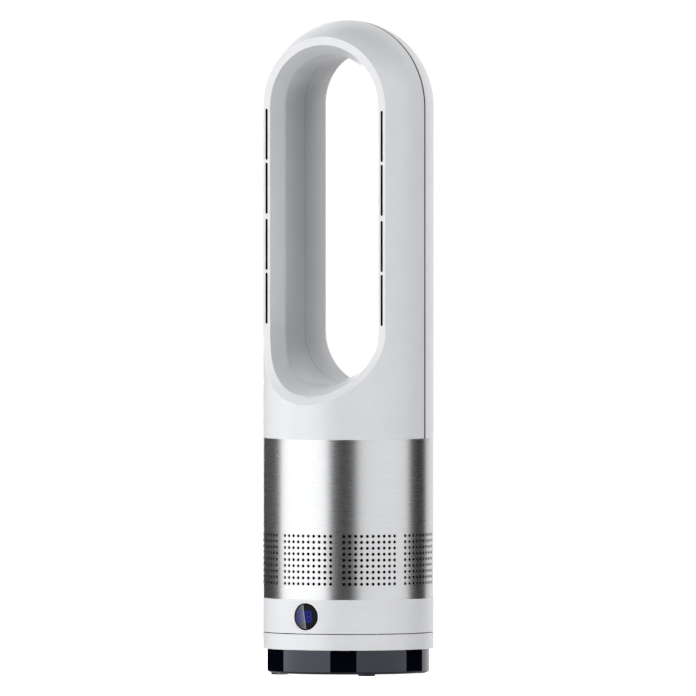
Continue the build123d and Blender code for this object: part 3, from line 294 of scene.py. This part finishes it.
SURFACES = {
    "white_gloss": surface("white_gloss", (0.80, 0.81, 0.83), (0.82, 0.83, 0.85), (0.26, 0.34), bump=0.03),
    "black_gloss": surface("black_gloss", (0.0015, 0.0015, 0.004), (0.002, 0.002, 0.006), (0.025, 0.05),
                           bump=0.004),
    "steel": surface("steel", (0.50, 0.505, 0.515), (0.54, 0.545, 0.555), (0.255, 0.3), 30.0, (1, 1, 60),
                     250.0, (0.3, 0.3, 30), bump=0.014, depth=0.00002, metallic=1.0),
    "display_black": surface("display_black", (0.004, 0.004, 0.006), (0.006, 0.006, 0.008), (0.03, 0.06),
                             bump=0.003),
    "slot_black": surface("slot_black", (0.003, 0.003, 0.003), (0.006, 0.006, 0.006), (0.5, 0.7)),
    "black_plastic": surface("black_plastic", (0.004, 0.004, 0.0045), (0.007, 0.007, 0.008), (0.45, 0.6)),
    "grey_plastic": surface("grey_plastic", (0.24, 0.25, 0.26), (0.3, 0.31, 0.32), (0.4, 0.55)),
    "acetal": surface("acetal", (0.76, 0.75, 0.71), (0.82, 0.81, 0.77), (0.35, 0.5)),
    "rubber": surface("rubber", (0.006, 0.006, 0.01), (0.01, 0.01, 0.016), (0.5, 0.7), bump=0.08),
    "zinc_steel": surface("zinc_steel", (0.55, 0.55, 0.54), (0.62, 0.62, 0.6), (0.25, 0.4), metallic=1.0),
    "bearing_steel": surface("bearing_steel", (0.6, 0.6, 0.6), (0.68, 0.68, 0.68), (0.08, 0.16),
                             metallic=1.0),
    "motor_can": surface("motor_can", (0.48, 0.48, 0.49), (0.56, 0.56, 0.57), (0.25, 0.4), metallic=1.0),
    "motor_core": surface("motor_core", (0.12, 0.11, 0.1), (0.3, 0.14, 0.06), (0.35, 0.6), 200.0,
                          (1, 1, 20), grain_stretch=(1, 1, 20)),
    "circuit_board": surface("circuit_board", (0.02, 0.1, 0.05), (0.03, 0.14, 0.07), (0.25, 0.45)),
}

display_shader = shader_of(SURFACES["display_black"])
window_tint_and_painted_glare(SURFACES["display_black"].node_tree, display_shader)
window_glow(SURFACES["display_black"].node_tree, display_shader)
plinth_shader = shader_of(SURFACES["black_gloss"])
plinth_shader.inputs["Specular Tint"].default_value = (0.80, 0.88, 1.0, 1)
plinth_shader.inputs["IOR"].default_value = 1.54
for dull in ("slot_black", "black_plastic"):
    shader_of(SURFACES[dull]).inputs["Specular IOR Level"].default_value = 0.1


def screen_mesh():
    """The dust screen's fine woven mesh."""
    made, shader, tree = material("screen_mesh")
    coordinates = node(tree, "ShaderNodeTexCoord")
    cells = node(tree, "ShaderNodeTexVoronoi", Scale=1400.0)
    tree.links.new(coordinates.outputs["Object"], cells.inputs["Vector"])
    threads = tint(tree, cells.outputs["Distance"], (0.001, 0.001, 0.001), (0.006, 0.006, 0.006))
    tree.links.new(threads, shader.inputs["Base Color"])
    relief(tree, shader, cells.outputs["Distance"], 0.3, 0.0002)
    shader.inputs["Roughness"].default_value = 0.8
    shader.inputs["Specular IOR Level"].default_value = 0.1
    return made


# Two nodes look different from the rest of their slot.
FINISHES = {
    "dust_screen": screen_mesh(),
    "display_bezel": surface("bezel_white", (0.95, 0.96, 0.97), (0.97, 0.98, 0.99), (0.2, 0.3)),
}

for subpart in frame["record"]["subparts"]:
    cad_node = frame["nodes"][subpart["node"]]
    cad_node.data.materials.clear()
    cad_node.data.materials.append(FINISHES.get(subpart["node"], SURFACES[subpart["material_slot"]]))


# ---------------------------------------------------------------- helpers for new pieces
def added(name, data):
    """A new object in the scene."""
    made = bpy.data.objects.new(name, data)
    bpy.context.scene.collection.objects.link(made)
    return made


def piece(name, mesh, body, slot):
    """A new piece that rides on a body and takes a slot's finish."""
    made = added(name, mesh)
    mesh.materials.append(SURFACES[slot])
    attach(made, body)
    return made


class Grid:
    """Collects faces by their points in millimetres, and shares points that fall together."""

    def __init__(self):
        self.index, self.points, self.faces = {}, [], []

    def point(self, xyz):
        """The number of a point, which is new only if none lies there."""
        key = tuple(round(v, 3) for v in xyz)
        if key not in self.index:
            self.index[key] = len(self.points)
            self.points.append(tuple(v * MM for v in xyz))
        return self.index[key]

    def face(self, *corners):
        """A face through the corners, or none where they fall together."""
        found = []
        for corner in corners:
            at = self.point(corner)
            if at not in found:
                found.append(at)
        if len(found) > 2:
            self.faces.append(found)

    def sheet(self, rows):
        """Quads between rows of points."""
        for low, high in zip(rows, rows[1:]):
            for a, b, c, d in zip(low, low[1:], high[1:], high):
                self.face(a, b, c, d)

    def mesh(self, name):
        """The mesh of all the faces, turned to agree and shaded smooth."""
        made = bpy.data.meshes.new(name)
        made.from_pydata(self.points, [], self.faces)
        work = bmesh.new()
        work.from_mesh(made)
        bmesh.ops.recalc_face_normals(work, faces=work.faces)
        work.to_mesh(made)
        work.free()
        made.shade_smooth()
        return made


def steps(a, b, count):
    """Evenly spaced values from a to b, with both ends."""
    return [a + (b - a) * k / count for k in range(count + 1)]


# ---------------------------------------------------------------- perforated steel sleeve
def round_the_axis(radius, angle, z):
    """A point at a radius, an angle and a height."""
    turn = math.radians(angle)
    return radius * math.cos(turn), radius * math.sin(turn), z


def sleeve_patch(grid, radius, left, right, z0, z1):
    """A plain face of the sleeve."""
    corners = ((left, z0), (right, z0), (right, z1), (left, z1))
    grid.face(*[round_the_axis(radius, angle, z) for angle, z in corners])


def sleeve_cell(grid, radius, left, right, z0, z1):
    """A face of the sleeve with a round hole, and the hole's ring of points."""
    hole_r, sides = 1.88, 16
    quarter = sides // 4
    middle, z = (left + right) / 2, (z0 + z1) / 2
    corners = [round_the_axis(radius, *c) for c in ((right, z1), (left, z1), (left, z0), (right, z0))]
    ring = []
    for turn in steps(0.0, 2 * math.pi, sides)[:-1]:
        angle = middle + math.degrees(hole_r * math.cos(turn) / SLEEVE_R)
        ring.append(round_the_axis(radius, angle, z + hole_r * math.sin(turn)))
    for c, corner in enumerate(corners):
        for k in range(c * quarter, (c + 1) * quarter):
            grid.face(corner, ring[k], ring[(k + 1) % sides])
        grid.face(corner, ring[((c + 1) * quarter) % sides], corners[(c + 1) % 4])
    return ring


def sleeve_normals(mesh, outside_count, round_count):
    """Points the normals straight out on the outer faces, straight in on the inner ones."""
    normals = []
    for polygon in mesh.polygons:
        for vertex in polygon.vertices:
            x, y, _ = mesh.vertices[vertex].co
            out = Vector((x, y, 0)).normalized()
            if polygon.index < outside_count:
                normals.append(out)
            elif polygon.index < round_count:
                normals.append(-out)
            else:
                normals.append(polygon.normal.copy())
    mesh.normals_split_custom_set(normals)


def sleeve_strip(faces_of, walls, left, right, levels, holed):
    """An upright strip of the sleeve, with a hole between each two levels or with none."""
    for radius, grid in faces_of.items():
        for z0, z1 in ((SLEEVE_Z0, levels[0]), (levels[-1], SLEEVE_Z1)):
            sleeve_patch(grid, radius, left, right, z0, z1)
    for z0, z1 in zip(levels, levels[1:]):
        rings = []
        for radius, grid in faces_of.items():
            if holed:
                ring = sleeve_cell(grid, radius, left, right, z0, z1)
                rings.append(ring + ring[:1])
            else:
                sleeve_patch(grid, radius, left, right, z0, z1)
        walls.sheet(rings)
    for z in (SLEEVE_Z0, SLEEVE_Z1):
        walls.sheet([[round_the_axis(radius, angle, z) for angle in (left, right)] for radius in faces_of])


def steel_sleeve():
    """The sleeve with its fields of round holes, on both faces and with walls between them."""
    fields, columns, rows = 8, 10, 9
    hole_turn, row_pitch, first_row_z = 4.0, 7.0, 108.0
    outside, inside, walls = Grid(), Grid(), Grid()
    faces_of = {SLEEVE_R: outside, SLEEVE_R - SLEEVE_WALL: inside}
    levels = [first_row_z + row_pitch * (row - 0.5) for row in range(rows + 1)]
    for field in range(fields):
        start = -90 + field * 360 / fields - hole_turn * columns / 2
        edges = [start + hole_turn * column for column in range(columns + 1)] + [start + 360 / fields]
        for column, (left, right) in enumerate(zip(edges, edges[1:])):
            sleeve_strip(faces_of, walls, left, right, levels, column < columns)
    whole, counts = Grid(), []
    for grid in (outside, inside, walls):
        for face in grid.faces:
            whole.face(*[tuple(v / MM for v in grid.points[k]) for k in face])
        counts.append(len(whole.faces))
    mesh = whole.mesh("steel_sleeve")
    sleeve_normals(mesh, counts[0], counts[1])
    made = piece("steel_sleeve", mesh, "tower", "steel")
    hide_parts("intake_sleeve")


steel_sleeve()


# ---------------------------------------------------------------- loop
# A station is a direction's shares of X and Z, and the height of the centre that it starts from.
def place(station, r, y):
    """The point at radius r in a station's direction."""
    x_share, z_share, centre_z = station
    return r * x_share, y, centre_z + r * z_share


def arc_stations(a0, a1, count, centre_z):
    """Stations round a centre, from one angle to another."""
    turns = [math.radians(a) for a in steps(a0, a1, count)]
    return [(math.cos(turn), math.sin(turn), centre_z) for turn in turns]


def sweep(grid, stations, section):
    """Faces that carry a section, a list of radius and Y, along the stations."""
    grid.sheet([[place(station, r, y) for r, y in section] for station in stations])


def outer_arc(y0, y1, count):
    """Radius and Y along the body's round side."""
    turns = steps(math.asin(y0 / BODY_R), math.asin(y1 / BODY_R), count)
    return [(BODY_R * math.cos(turn), BODY_R * math.sin(turn)) for turn in turns]


def rounded(before, corner, after, radius, count):
    """Points that round a corner between two straight runs."""
    a, b, c = (np.array(p, float) for p in (before, corner, after))
    u, v = (a - b) / np.linalg.norm(a - b), (c - b) / np.linalg.norm(c - b)
    half = math.acos(max(-1.0, min(1.0, float(u @ v)))) / 2
    reach = radius / math.tan(half)
    start, end = b + u * reach, b + v * reach
    middle = b + (u + v) / np.linalg.norm(u + v) * radius / math.sin(half)
    found = []
    for share in steps(0.0, 1.0, count):
        chord = start + (end - start) * share - middle
        found.append(tuple(middle + chord / np.linalg.norm(chord) * radius))
    return found


def scoop_y(r, s):
    """The front surface's Y at radius r from the hole's lower centre, in a direction with sine s."""
    return -math.hypot(FACE_Y, r * s)


def front_sections(s):
    """The sections of the band, the flare and the throat, in a direction with sine s."""
    band = [(r, scoop_y(r, s)) for r in steps(BAND_OUT_R, BAND_IN_R, BAND_STEPS)]
    corner = (THROAT_R, scoop_y(THROAT_R, s) + FLARE_DEPTH)
    seam = (THROAT_R, SEAM_HOLE[0])
    bend_r = FLARE_BEND_R + FLARE_BEND_LOW * max(0.0, -s)**3
    bend = rounded(band[-1], corner, seam, bend_r, BEND_STEPS)
    return band, [band[-1]] + bend, [bend[-1], (THROAT_R, THROAT_FRONT_Y), seam]


def slot_levels():
    """The ends of the four slots of a side, from the top down."""
    ends, z = [], SLOT_TOP
    for rib in (SLOT_RIB, SLOT_MIDDLE_RIB, SLOT_RIB, 0):
        ends.append((z, z - SLOT_L))
        z -= SLOT_L + rib
    return ends


def side_levels():
    """Levels down a straight side: the ends of the cells that hold one slot each."""
    ends = slot_levels()
    joints = [(a[1] + b[0]) / 2 for a, b in zip(ends, ends[1:])]
    return [DOME_Z, *joints, LOW_Z]


def slotted_band(grid, side, top, low, slot):
    """The flat band between two levels, with one slot in it."""
    inner, outer, middle = BAND_IN_R, BAND_OUT_R, (BAND_IN_R + BAND_OUT_R) / 2
    half = SLOT_W / 2

    def at(r, z):
        return side * r, -FACE_Y, z

    def cap(z, way):
        turns = [math.radians(a) for a in steps(0, 180, SLOT_END_STEPS)]
        return [at(middle + half * math.cos(turn), z + way * half * math.sin(turn)) for turn in turns]

    upper, lower = cap(slot[0] - half, 1), cap(slot[1] + half, -1)
    top_step = SLOT_END_STEPS // 2
    for z, ring in ((top, upper), (low, lower)):
        for k in range(SLOT_END_STEPS):
            corner = at(outer if k < top_step else inner, z)
            grid.face(corner, ring[k], ring[k + 1])
        grid.face(at(outer, z), ring[top_step], at(inner, z))
    grid.face(at(outer, top), at(outer, low), lower[0], upper[0])
    grid.face(at(inner, top), at(inner, low), lower[-1], upper[-1])


def front_shell():
    """The loop's front: flat above, and swept forward into the round body below."""
    grid = Grid()
    rim = outer_arc(SEAM_OUTSIDE[0], -FACE_Y, FRONT_RIM_STEPS)
    band, flare, throat = front_sections(0.0)
    for section in (rim, band, flare, throat):
        sweep(grid, arc_stations(0, 180, ARC_STEPS, DOME_Z), section)
    levels = side_levels()
    for side in (-1, 1):
        for section in (rim, flare, throat):
            sweep(grid, [(side, 0.0, z) for z in levels], section)
        for top, bottom, slot in zip(levels, levels[1:], slot_levels()):
            slotted_band(grid, side, top, bottom, slot)
    low = arc_stations(180, 360, ARC_STEPS, LOW_Z)
    sections = [front_sections(station[1]) for station in low]
    for part in zip(*sections):
        grid.sheet([[place(station, r, y) for r, y in section] for station, section in zip(low, part)])
    rows = []
    for station in low:
        x, y, z = place(station, BAND_OUT_R, scoop_y(BAND_OUT_R, station[1]))
        rows.append([(x, y, level) for level in steps(z, SLEEVE_Z1, COLUMN_ROWS)])
    grid.sheet(rows)
    for side in (-1, 1):
        grid.sheet([[(side * r, y, z) for r, y in rim] for z in steps(LOW_Z, SLEEVE_Z1, COLUMN_ROWS)])
    return grid.mesh("loop_front")


def rear_y(z):
    """The rear face's Y at a level: flat above, scooped out to the body's side below."""
    drop = max(0.0, REAR_SCOOP_Z - z)
    return FACE_Y + REAR_SCOOP_R - math.sqrt(max(0.0, REAR_SCOOP_R**2 - drop**2))


def rear_border(flat_steps, scoop_steps):
    """The rear face's right edge, from the lower arc's centre down to its lowest point on the axis."""
    last = math.acos((FACE_Y + REAR_SCOOP_R - BODY_R) / REAR_SCOOP_R)
    border = [(BAND_OUT_R, FACE_Y, z) for z in steps(LOW_Z, REAR_SCOOP_Z, flat_steps)]
    for turn in steps(0.0, last, scoop_steps)[1:]:
        y = FACE_Y + REAR_SCOOP_R * (1 - math.cos(turn))
        x = math.sqrt(max(0.0, BODY_R**2 - y**2))
        border.append((x if turn < last else 0.0, y, REAR_SCOOP_Z - REAR_SCOOP_R * math.sin(turn)))
    return border


def rear_shell():
    """The loop's rear: flat above, and scooped out to the round body below."""
    grid = Grid()
    side_rows, flat_steps, scoop_steps, web_steps = 4, 4, 20, 14
    rim = outer_arc(SEAM_OUTSIDE[1], FACE_Y, REAR_RIM_STEPS)
    lip_r = THROAT_R + LIP_RISE
    back = [(r, FACE_Y) for r in steps(BAND_OUT_R, lip_r, web_steps)]
    lip = [(THROAT_R + LIP_RISE * t**2, FACE_Y - LIP_DEPTH * (1 - t)) for t in steps(1.0, 0.0, LIP_STEPS)]
    throat = [lip[-1], (THROAT_R, THROAT_REAR_Y), (THROAT_R, SEAM_HOLE[1])]
    right, left = ([(side, 0, z) for z in steps(DOME_Z, LOW_Z, side_rows)] for side in (1, -1))
    for stations in (arc_stations(0, 180, ARC_STEPS, DOME_Z), right, left):
        for section in (rim, back, lip, throat):
            sweep(grid, stations, section)
    low = arc_stations(180, 360, 2 * (flat_steps + scoop_steps), LOW_Z)
    for section in (lip, throat):
        sweep(grid, low, section)
    border = rear_border(flat_steps, scoop_steps)
    outline = [(-x, y, z) for x, y, z in border] + border[-2::-1]
    rows = []
    for a, b in zip([place(station, lip_r, FACE_Y) for station in low], outline):
        row = [a]
        for share in steps(0.0, 1.0, web_steps)[1:-1]:
            x, z = a[0] + (b[0] - a[0]) * share, a[2] + (b[2] - a[2]) * share
            row.append((x, rear_y(z), z))
        rows.append(row + [b])
    grid.sheet(rows)
    levels = [z for _, _, z in border[:flat_steps]] + steps(REAR_SCOOP_Z, SLEEVE_Z1, COLUMN_ROWS)
    for side in (-1, 1):
        grid.sheet([[(side * r, y, z) for r, y in rim] for z in levels])
        below = []
        for x, y, z in border[flat_steps:]:
            below.append([(side * x, y, level) for level in steps(z, SLEEVE_Z1, COLUMN_ROWS)])
        grid.sheet(below)
    return grid.mesh("loop_rear")


def seam_paths(low):
    """Stations along the seam, over the outside from one side's foot to the other, and round the hole."""
    outside = [(1, 0, z) for z in steps(low, LOW_Z, 2)] + [(1, 0, DOME_Z)]
    outside += arc_stations(0, 180, ARC_STEPS, DOME_Z)[1:] + [(-1, 0, z) for z in (LOW_Z, low)]
    hole = arc_stations(0, 180, ARC_STEPS, DOME_Z) + arc_stations(180, 360, ARC_STEPS, LOW_Z)
    return outside, hole + hole[:1]


def body_reach(y, depth):
    """The radius of a point that lies under the body's round side."""
    return math.sqrt((BODY_R - depth)**2 - y**2)


def tongue():
    """The strip that closes the seam from inside, round the outside and round the hole."""
    grid = Grid()
    depth = SHELL_WALL + TONGUE_GAP
    ys = steps(SEAM_HOLE[0] - TONGUE_REACH, SEAM_OUTSIDE[1] + TONGUE_REACH, 3)
    outside, hole = seam_paths(SLEEVE_Z1 + TONGUE_LIFT)
    sweep(grid, outside, [(body_reach(y, depth), y) for y in ys])
    sweep(grid, hole, [(THROAT_R + depth, y) for y in ys])
    return grid.mesh("loop_tongue")


def seam_shade_strip(name, path, seam, reach):
    """A dark strip that fills a seam to just under the surface, whose radius follows Y; its dark colour is
    painted shade in place of the shadow in the groove.
    """
    grid = Grid()
    ys = steps(seam[0] + SHADE_STRIP_GAP, seam[1] - SHADE_STRIP_GAP, 2)
    sweep(grid, path, [(reach(y), y) for y in ys])
    return grid.mesh(name)


def slot_liners():
    """The black sleeves that line the slots, just under the band's surface."""
    grid = Grid()
    middle, outer = (BAND_IN_R + BAND_OUT_R) / 2, SLOT_W / 2 - LINER_GAP
    inner = outer - LINER_WALL
    front, back = -FACE_Y + LINER_SINK, -FACE_Y + SHELL_WALL + LINER_REACH

    def outline(side, ends, half, y):
        made = []
        for z, first in ((ends[0] - SLOT_W / 2, 0), (ends[1] + SLOT_W / 2, 180)):
            for a in steps(first, first + 180, SLOT_END_STEPS):
                turn = math.radians(a)
                made.append((side * (middle + half * math.cos(turn)), y, z + half * math.sin(turn)))
        return made + made[:1]

    section = ((outer, front), (inner, front), (inner, back), (outer, back))
    for side in (-1, 1):
        for ends in slot_levels():
            rings = [outline(side, ends, half, y) for half, y in section]
            grid.sheet(rings + rings[:1])
    return grid.mesh("slot_liners")


def dress_shell(made, wall, bevel):
    """Gives a sheet its wall, inwards from its faces, and soft edges."""
    thick = made.modifiers.new("wall", "SOLIDIFY")
    thick.thickness, thick.offset, thick.use_even_offset = wall * MM, -1.0, True
    soft = made.modifiers.new("edges", "BEVEL")
    soft.width, soft.segments = bevel * MM, 2
    soft.limit_method, soft.angle_limit = "ANGLE", math.radians(EDGE_ANGLE)
    made.modifiers.new("slivers", "WELD").merge_threshold = SLIVER * MM
    made.modifiers.new("normals", "WEIGHTED_NORMAL").keep_sharp = True


def outward(mesh, up=True):
    """Turns all faces over if the top one looks down, or up for a wall of the hole."""
    top = max(mesh.polygons, key=lambda p: p.center.z)
    if (top.normal.z > 0) != up:
        mesh.flip_normals()
    return mesh


def flat_behind(mesh):
    """Shades the faces that look straight back flat."""
    for face in mesh.polygons:
        if face.normal.y > 0.99999:
            face.use_smooth = False
    return mesh


loop_front = piece("loop_front", outward(front_shell()), "tower", "white_gloss")
dress_shell(loop_front, SHELL_WALL, FRONT_BEVEL)
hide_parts("loop_front_shell")
loop_rear = piece("loop_rear", flat_behind(outward(rear_shell())), "tower", "white_gloss")
dress_shell(loop_rear, SHELL_WALL, REAR_BEVEL)
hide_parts("loop_rear_shell")
loop_tongue = piece("loop_tongue", outward(tongue()), "tower", "black_plastic")
dress_shell(loop_tongue, TONGUE_T, TONGUE_BEVEL)
# Painted shade: dark strips in the seams, black round the outside and grey round the hole.
outside_path, hole_path = seam_paths(SLEEVE_Z1 + SHADE_STRIP_LIFT)
outside_shade_strip = seam_shade_strip("outside_seam_shade", outside_path, SEAM_OUTSIDE, lambda y: body_reach(y, SHADE_STRIP_SINK))
outside_seam_shade = piece("outside_seam_shade", outward(outside_shade_strip), "tower", "black_plastic")
dress_shell(outside_seam_shade, SHADE_STRIP_T, SHADE_STRIP_BEVEL)
hole_shade_strip = seam_shade_strip("hole_seam_shade", hole_path, SEAM_HOLE, lambda y: THROAT_R + SHADE_STRIP_SINK)
hole_seam_shade = piece("hole_seam_shade", outward(hole_shade_strip, up=False), "tower", "grey_plastic")
dress_shell(hole_seam_shade, SHADE_STRIP_T, SHADE_STRIP_BEVEL)
piece("slot_liners", slot_liners(), "tower", "slot_black")


# ---------------------------------------------------------------- display digits
DIGITS = {"2": -8.9, "8": 4.2}  # how far each lies to the right of the display's centre
LIT_BARS = {"2": "abged", "8": "abcdefg"}
DIGIT_W, DIGIT_H, DIGIT_BAR = 7.2, 12.6, 1.5
DIGIT_T = 0.05
DIGIT_R = 99.76  # just over the display's window
DIGIT_TIP = 0.15  # gap at each end of a bar


def digit_material():
    """The blue glow of a lit bar, under the window's tint and its painted glare."""
    made, shader, tree = material("display_blue")
    glow = tint(tree, noise(tree, 400.0), (0.015, 0.018, 0.26), (0.022, 0.026, 0.34))
    tree.links.new(glow, shader.inputs["Emission Color"])
    shader.inputs["Emission Strength"].default_value = 1.0
    shader.inputs["Roughness"].default_value = 0.1
    # The window's tint and painted glare are laid over the bar's colour too.
    window_tint_and_painted_glare(tree, shader)
    return made


def digit_bar(x0, z0, x1, z1):
    """The six corners of a bar with pointed ends, on the flat."""
    length, half = math.hypot(x1 - x0, z1 - z0), DIGIT_BAR / 2
    u, w = (x1 - x0) / length, (z1 - z0) / length
    shoulder = DIGIT_TIP + half
    outline = [(DIGIT_TIP, 0), (shoulder, half), (length - shoulder, half), (length - DIGIT_TIP, 0),
               (length - shoulder, -half), (shoulder, -half)]
    return [(x0 + u * along - w * across, z0 + w * along + u * across) for along, across in outline]


def digits():
    """The seven-segment digits on the display's window."""
    half_w, half_h = (DIGIT_W - DIGIT_BAR) / 2, (DIGIT_H - DIGIT_BAR) / 2
    spans = {
        "a": (-half_w, half_h, half_w, half_h),
        "b": (half_w, 0, half_w, half_h),
        "c": (half_w, -half_h, half_w, 0),
        "d": (-half_w, -half_h, half_w, -half_h),
        "e": (-half_w, -half_h, -half_w, 0),
        "f": (-half_w, 0, -half_w, half_h),
        "g": (-half_w, 0, half_w, 0),
    }
    grid = Grid()
    for number, shift in DIGITS.items():
        for name in LIT_BARS[number]:
            ring = []
            for x, z in digit_bar(*spans[name]):
                turn = (x + shift) / BODY_R
                ring.append((DIGIT_R * math.sin(turn), -DIGIT_R * math.cos(turn), DISPLAY_Z + z))
            grid.face(*ring)
    mesh = grid.mesh("display_digits")
    mesh.materials.append(digit_material())
    lit_piece = added("display_digits", mesh)
    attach(lit_piece, "tower")
    lit_piece.modifiers.new("film", "SOLIDIFY").thickness = DIGIT_T * MM


digits()


# ---------------------------------------------------------------- floor, light and camera, in metres
CAMERA_AZIMUTH, CAMERA_ELEVATION = 30.0, 2.0
CAMERA_DISTANCE = 9.0
VIEW_CENTRE = (-0.00025, -0.00015, 0.3811)  # with the width, the photo's framing
VIEW_WIDTH = 0.8140
FLOOR_REACH = 12.0
BACKDROP = 1.05  # the floor's and the backdrop's brightness
MIRROR_DISTANCE = 1.7
OVERHEAD_DISTANCE, OVERHEAD_Z, OVERHEAD_SPREAD = 1.9, 0.4, 60.0
CARD_DEPTH, CARD_WIDTH = 0.4, 3.2


def direction(azimuth, elevation):
    """The way out from the tower, at an azimuth from the front to the right and an elevation."""
    turn, rise = math.radians(azimuth), math.radians(elevation)
    return Vector((math.sin(turn) * math.cos(rise), -math.cos(turn) * math.cos(rise), math.sin(rise)))


def facing(out):
    """The rotation of a lamp or camera that looks back along that way."""
    return (-out).to_track_quat("-Z", "Y").to_euler()


def floor():
    """A plain white floor, which only the camera sees."""
    reach = FLOOR_REACH
    mesh = bpy.data.meshes.new("floor")
    mesh.from_pydata([(-reach, -reach, 0), (reach, -reach, 0), (reach, reach, 0), (-reach, reach, 0)],
                     [], [(0, 1, 2, 3)])
    made = added("floor", mesh)
    paper, shader, tree = material("floor_paper")
    fibres = tint(tree, noise(tree, 3.0), (0.9, 0.9, 0.9), (0.92, 0.92, 0.92))
    tree.links.new(fibres, shader.inputs["Base Color"])
    shader.inputs["Roughness"].default_value = 0.9
    shader.inputs["Emission Color"].default_value = (1, 1, 1, 1)
    shader.inputs["Emission Strength"].default_value = BACKDROP
    mesh.materials.append(paper)
    made.visible_glossy = made.visible_diffuse = made.visible_shadow = False


def area_light(name, azimuth, elevation, distance, centre_z, width, height, radiance):
    """A rectangle of light that faces the tower from an azimuth off the camera's and an elevation."""
    out = direction(CAMERA_AZIMUTH + azimuth, elevation)
    lamp = bpy.data.lights.new(name, "AREA")
    lamp.shape, lamp.size, lamp.size_y = "RECTANGLE", width, height
    lamp.energy = radiance * math.pi * width * height
    made = added(name, lamp)
    made.location = out * distance + Vector((0, 0, centre_z))
    made.rotation_euler = facing(out)
    made.visible_camera = False
    return made


def width_of(spread_deg, distance):
    """The width of a box that takes up an angle at a distance."""
    return 2 * distance * math.tan(math.radians(spread_deg / 2))


def reflector(name, azimuth, spread_deg, radiance, low=-0.4, high=2.7):
    """A tall box that the steel and the glossy plastic mirror."""
    width = width_of(spread_deg, MIRROR_DISTANCE)
    made = area_light(name, azimuth, 0.0, MIRROR_DISTANCE, (low + high) / 2, width, high - low, radiance)
    made.visible_diffuse = False


def softbox(name, azimuth, spread_deg, radiance, distance=4.0, low=-1.0, high=2.8):
    """A tall box that lights the mouldings evenly and shows in no mirror."""
    width = width_of(spread_deg, distance)
    made = area_light(name, azimuth, 0.0, distance, (low + high) / 2, width, high - low, radiance)
    made.visible_glossy = False


def overhead(name, azimuth, elevation, radiance, length=1.16):
    """A box above the tower, which takes up part of the circle that it hangs on."""
    width = width_of(OVERHEAD_SPREAD, OVERHEAD_DISTANCE * math.cos(math.radians(elevation)))
    made = area_light(name, azimuth, elevation, OVERHEAD_DISTANCE, OVERHEAD_Z, width, length, radiance)
    made.visible_glossy = False


def floor_card(radiance):
    """A sheet below the floor that only steep views mirror in the steel."""
    made = area_light("floor_card", 0.0, -90.0, CARD_DEPTH, 0.0, CARD_WIDTH, CARD_WIDTH, radiance)
    made.visible_diffuse = False


def world():
    """The plain white backdrop, which only the camera sees."""
    made = bpy.data.worlds.new("studio")
    bpy.context.scene.world = made
    made.use_nodes = True
    made.cycles_visibility.glossy = made.cycles_visibility.diffuse = False
    backdrop = made.node_tree.nodes["Background"]
    backdrop.inputs["Color"].default_value = (1, 1, 1, 1)
    backdrop.inputs["Strength"].default_value = BACKDROP


def camera():
    """The photo's view, which has no perspective."""
    back = direction(CAMERA_AZIMUTH, CAMERA_ELEVATION)
    data = bpy.data.cameras.new("camera")
    data.type, data.ortho_scale = "ORTHO", VIEW_WIDTH
    data.clip_start, data.clip_end = 0.5, 60.0
    made = added("camera", data)
    made.location = Vector(VIEW_CENTRE) + back * CAMERA_DISTANCE
    made.rotation_euler = facing(back)
    bpy.context.scene.camera = made


floor()
reflector("mirror_left", -64.15, 77.9, 2.0)
reflector("mirror_right", 50.3, 77.8, 1.32)
reflector("mirror_rim", 155.8, 56.4, 1.15)
reflector("mirror_back", -169.5, 13.0, 3.5, high=1.0)
reflector("mirror_back_high", -165.0, 22.0, 1.3, low=1.0)
reflector("mirror_dim", -133.0, 44.0, 0.10, low=0.04)
softbox("soft_back_left", -135.0, 28.0, 1.463)
softbox("soft_left", -110.0, 22.0, 1.729)
softbox("soft_back", 170.0, 30.0, 0.5)
softbox("soft_front_left", -70.0, 20.0, 2.07)
softbox("soft_key", -50.0, 20.0, 5.63)
softbox("soft_front", 30.0, 20.0, 0.568)
softbox("soft_right", 70.0, 20.0, 2.782)
softbox("soft_low_left", -50.0, 24.0, 2.209, distance=2.5, low=-1.5, high=0.0)
softbox("soft_low_right", 52.0, 22.0, 5.053, distance=2.5, low=-1.5, high=0.0)
overhead("top_left", -90.0, 55.0, 1.195)
overhead("top_right", 90.0, 55.0, 0.648)
overhead("top_front", 60.0, 40.0, 1.039)
overhead("top", 0.0, 88.0, 7.079, length=1.77)
floor_card(0.55)
world()
camera()
bpy.context.scene.view_settings.view_transform = "Standard"
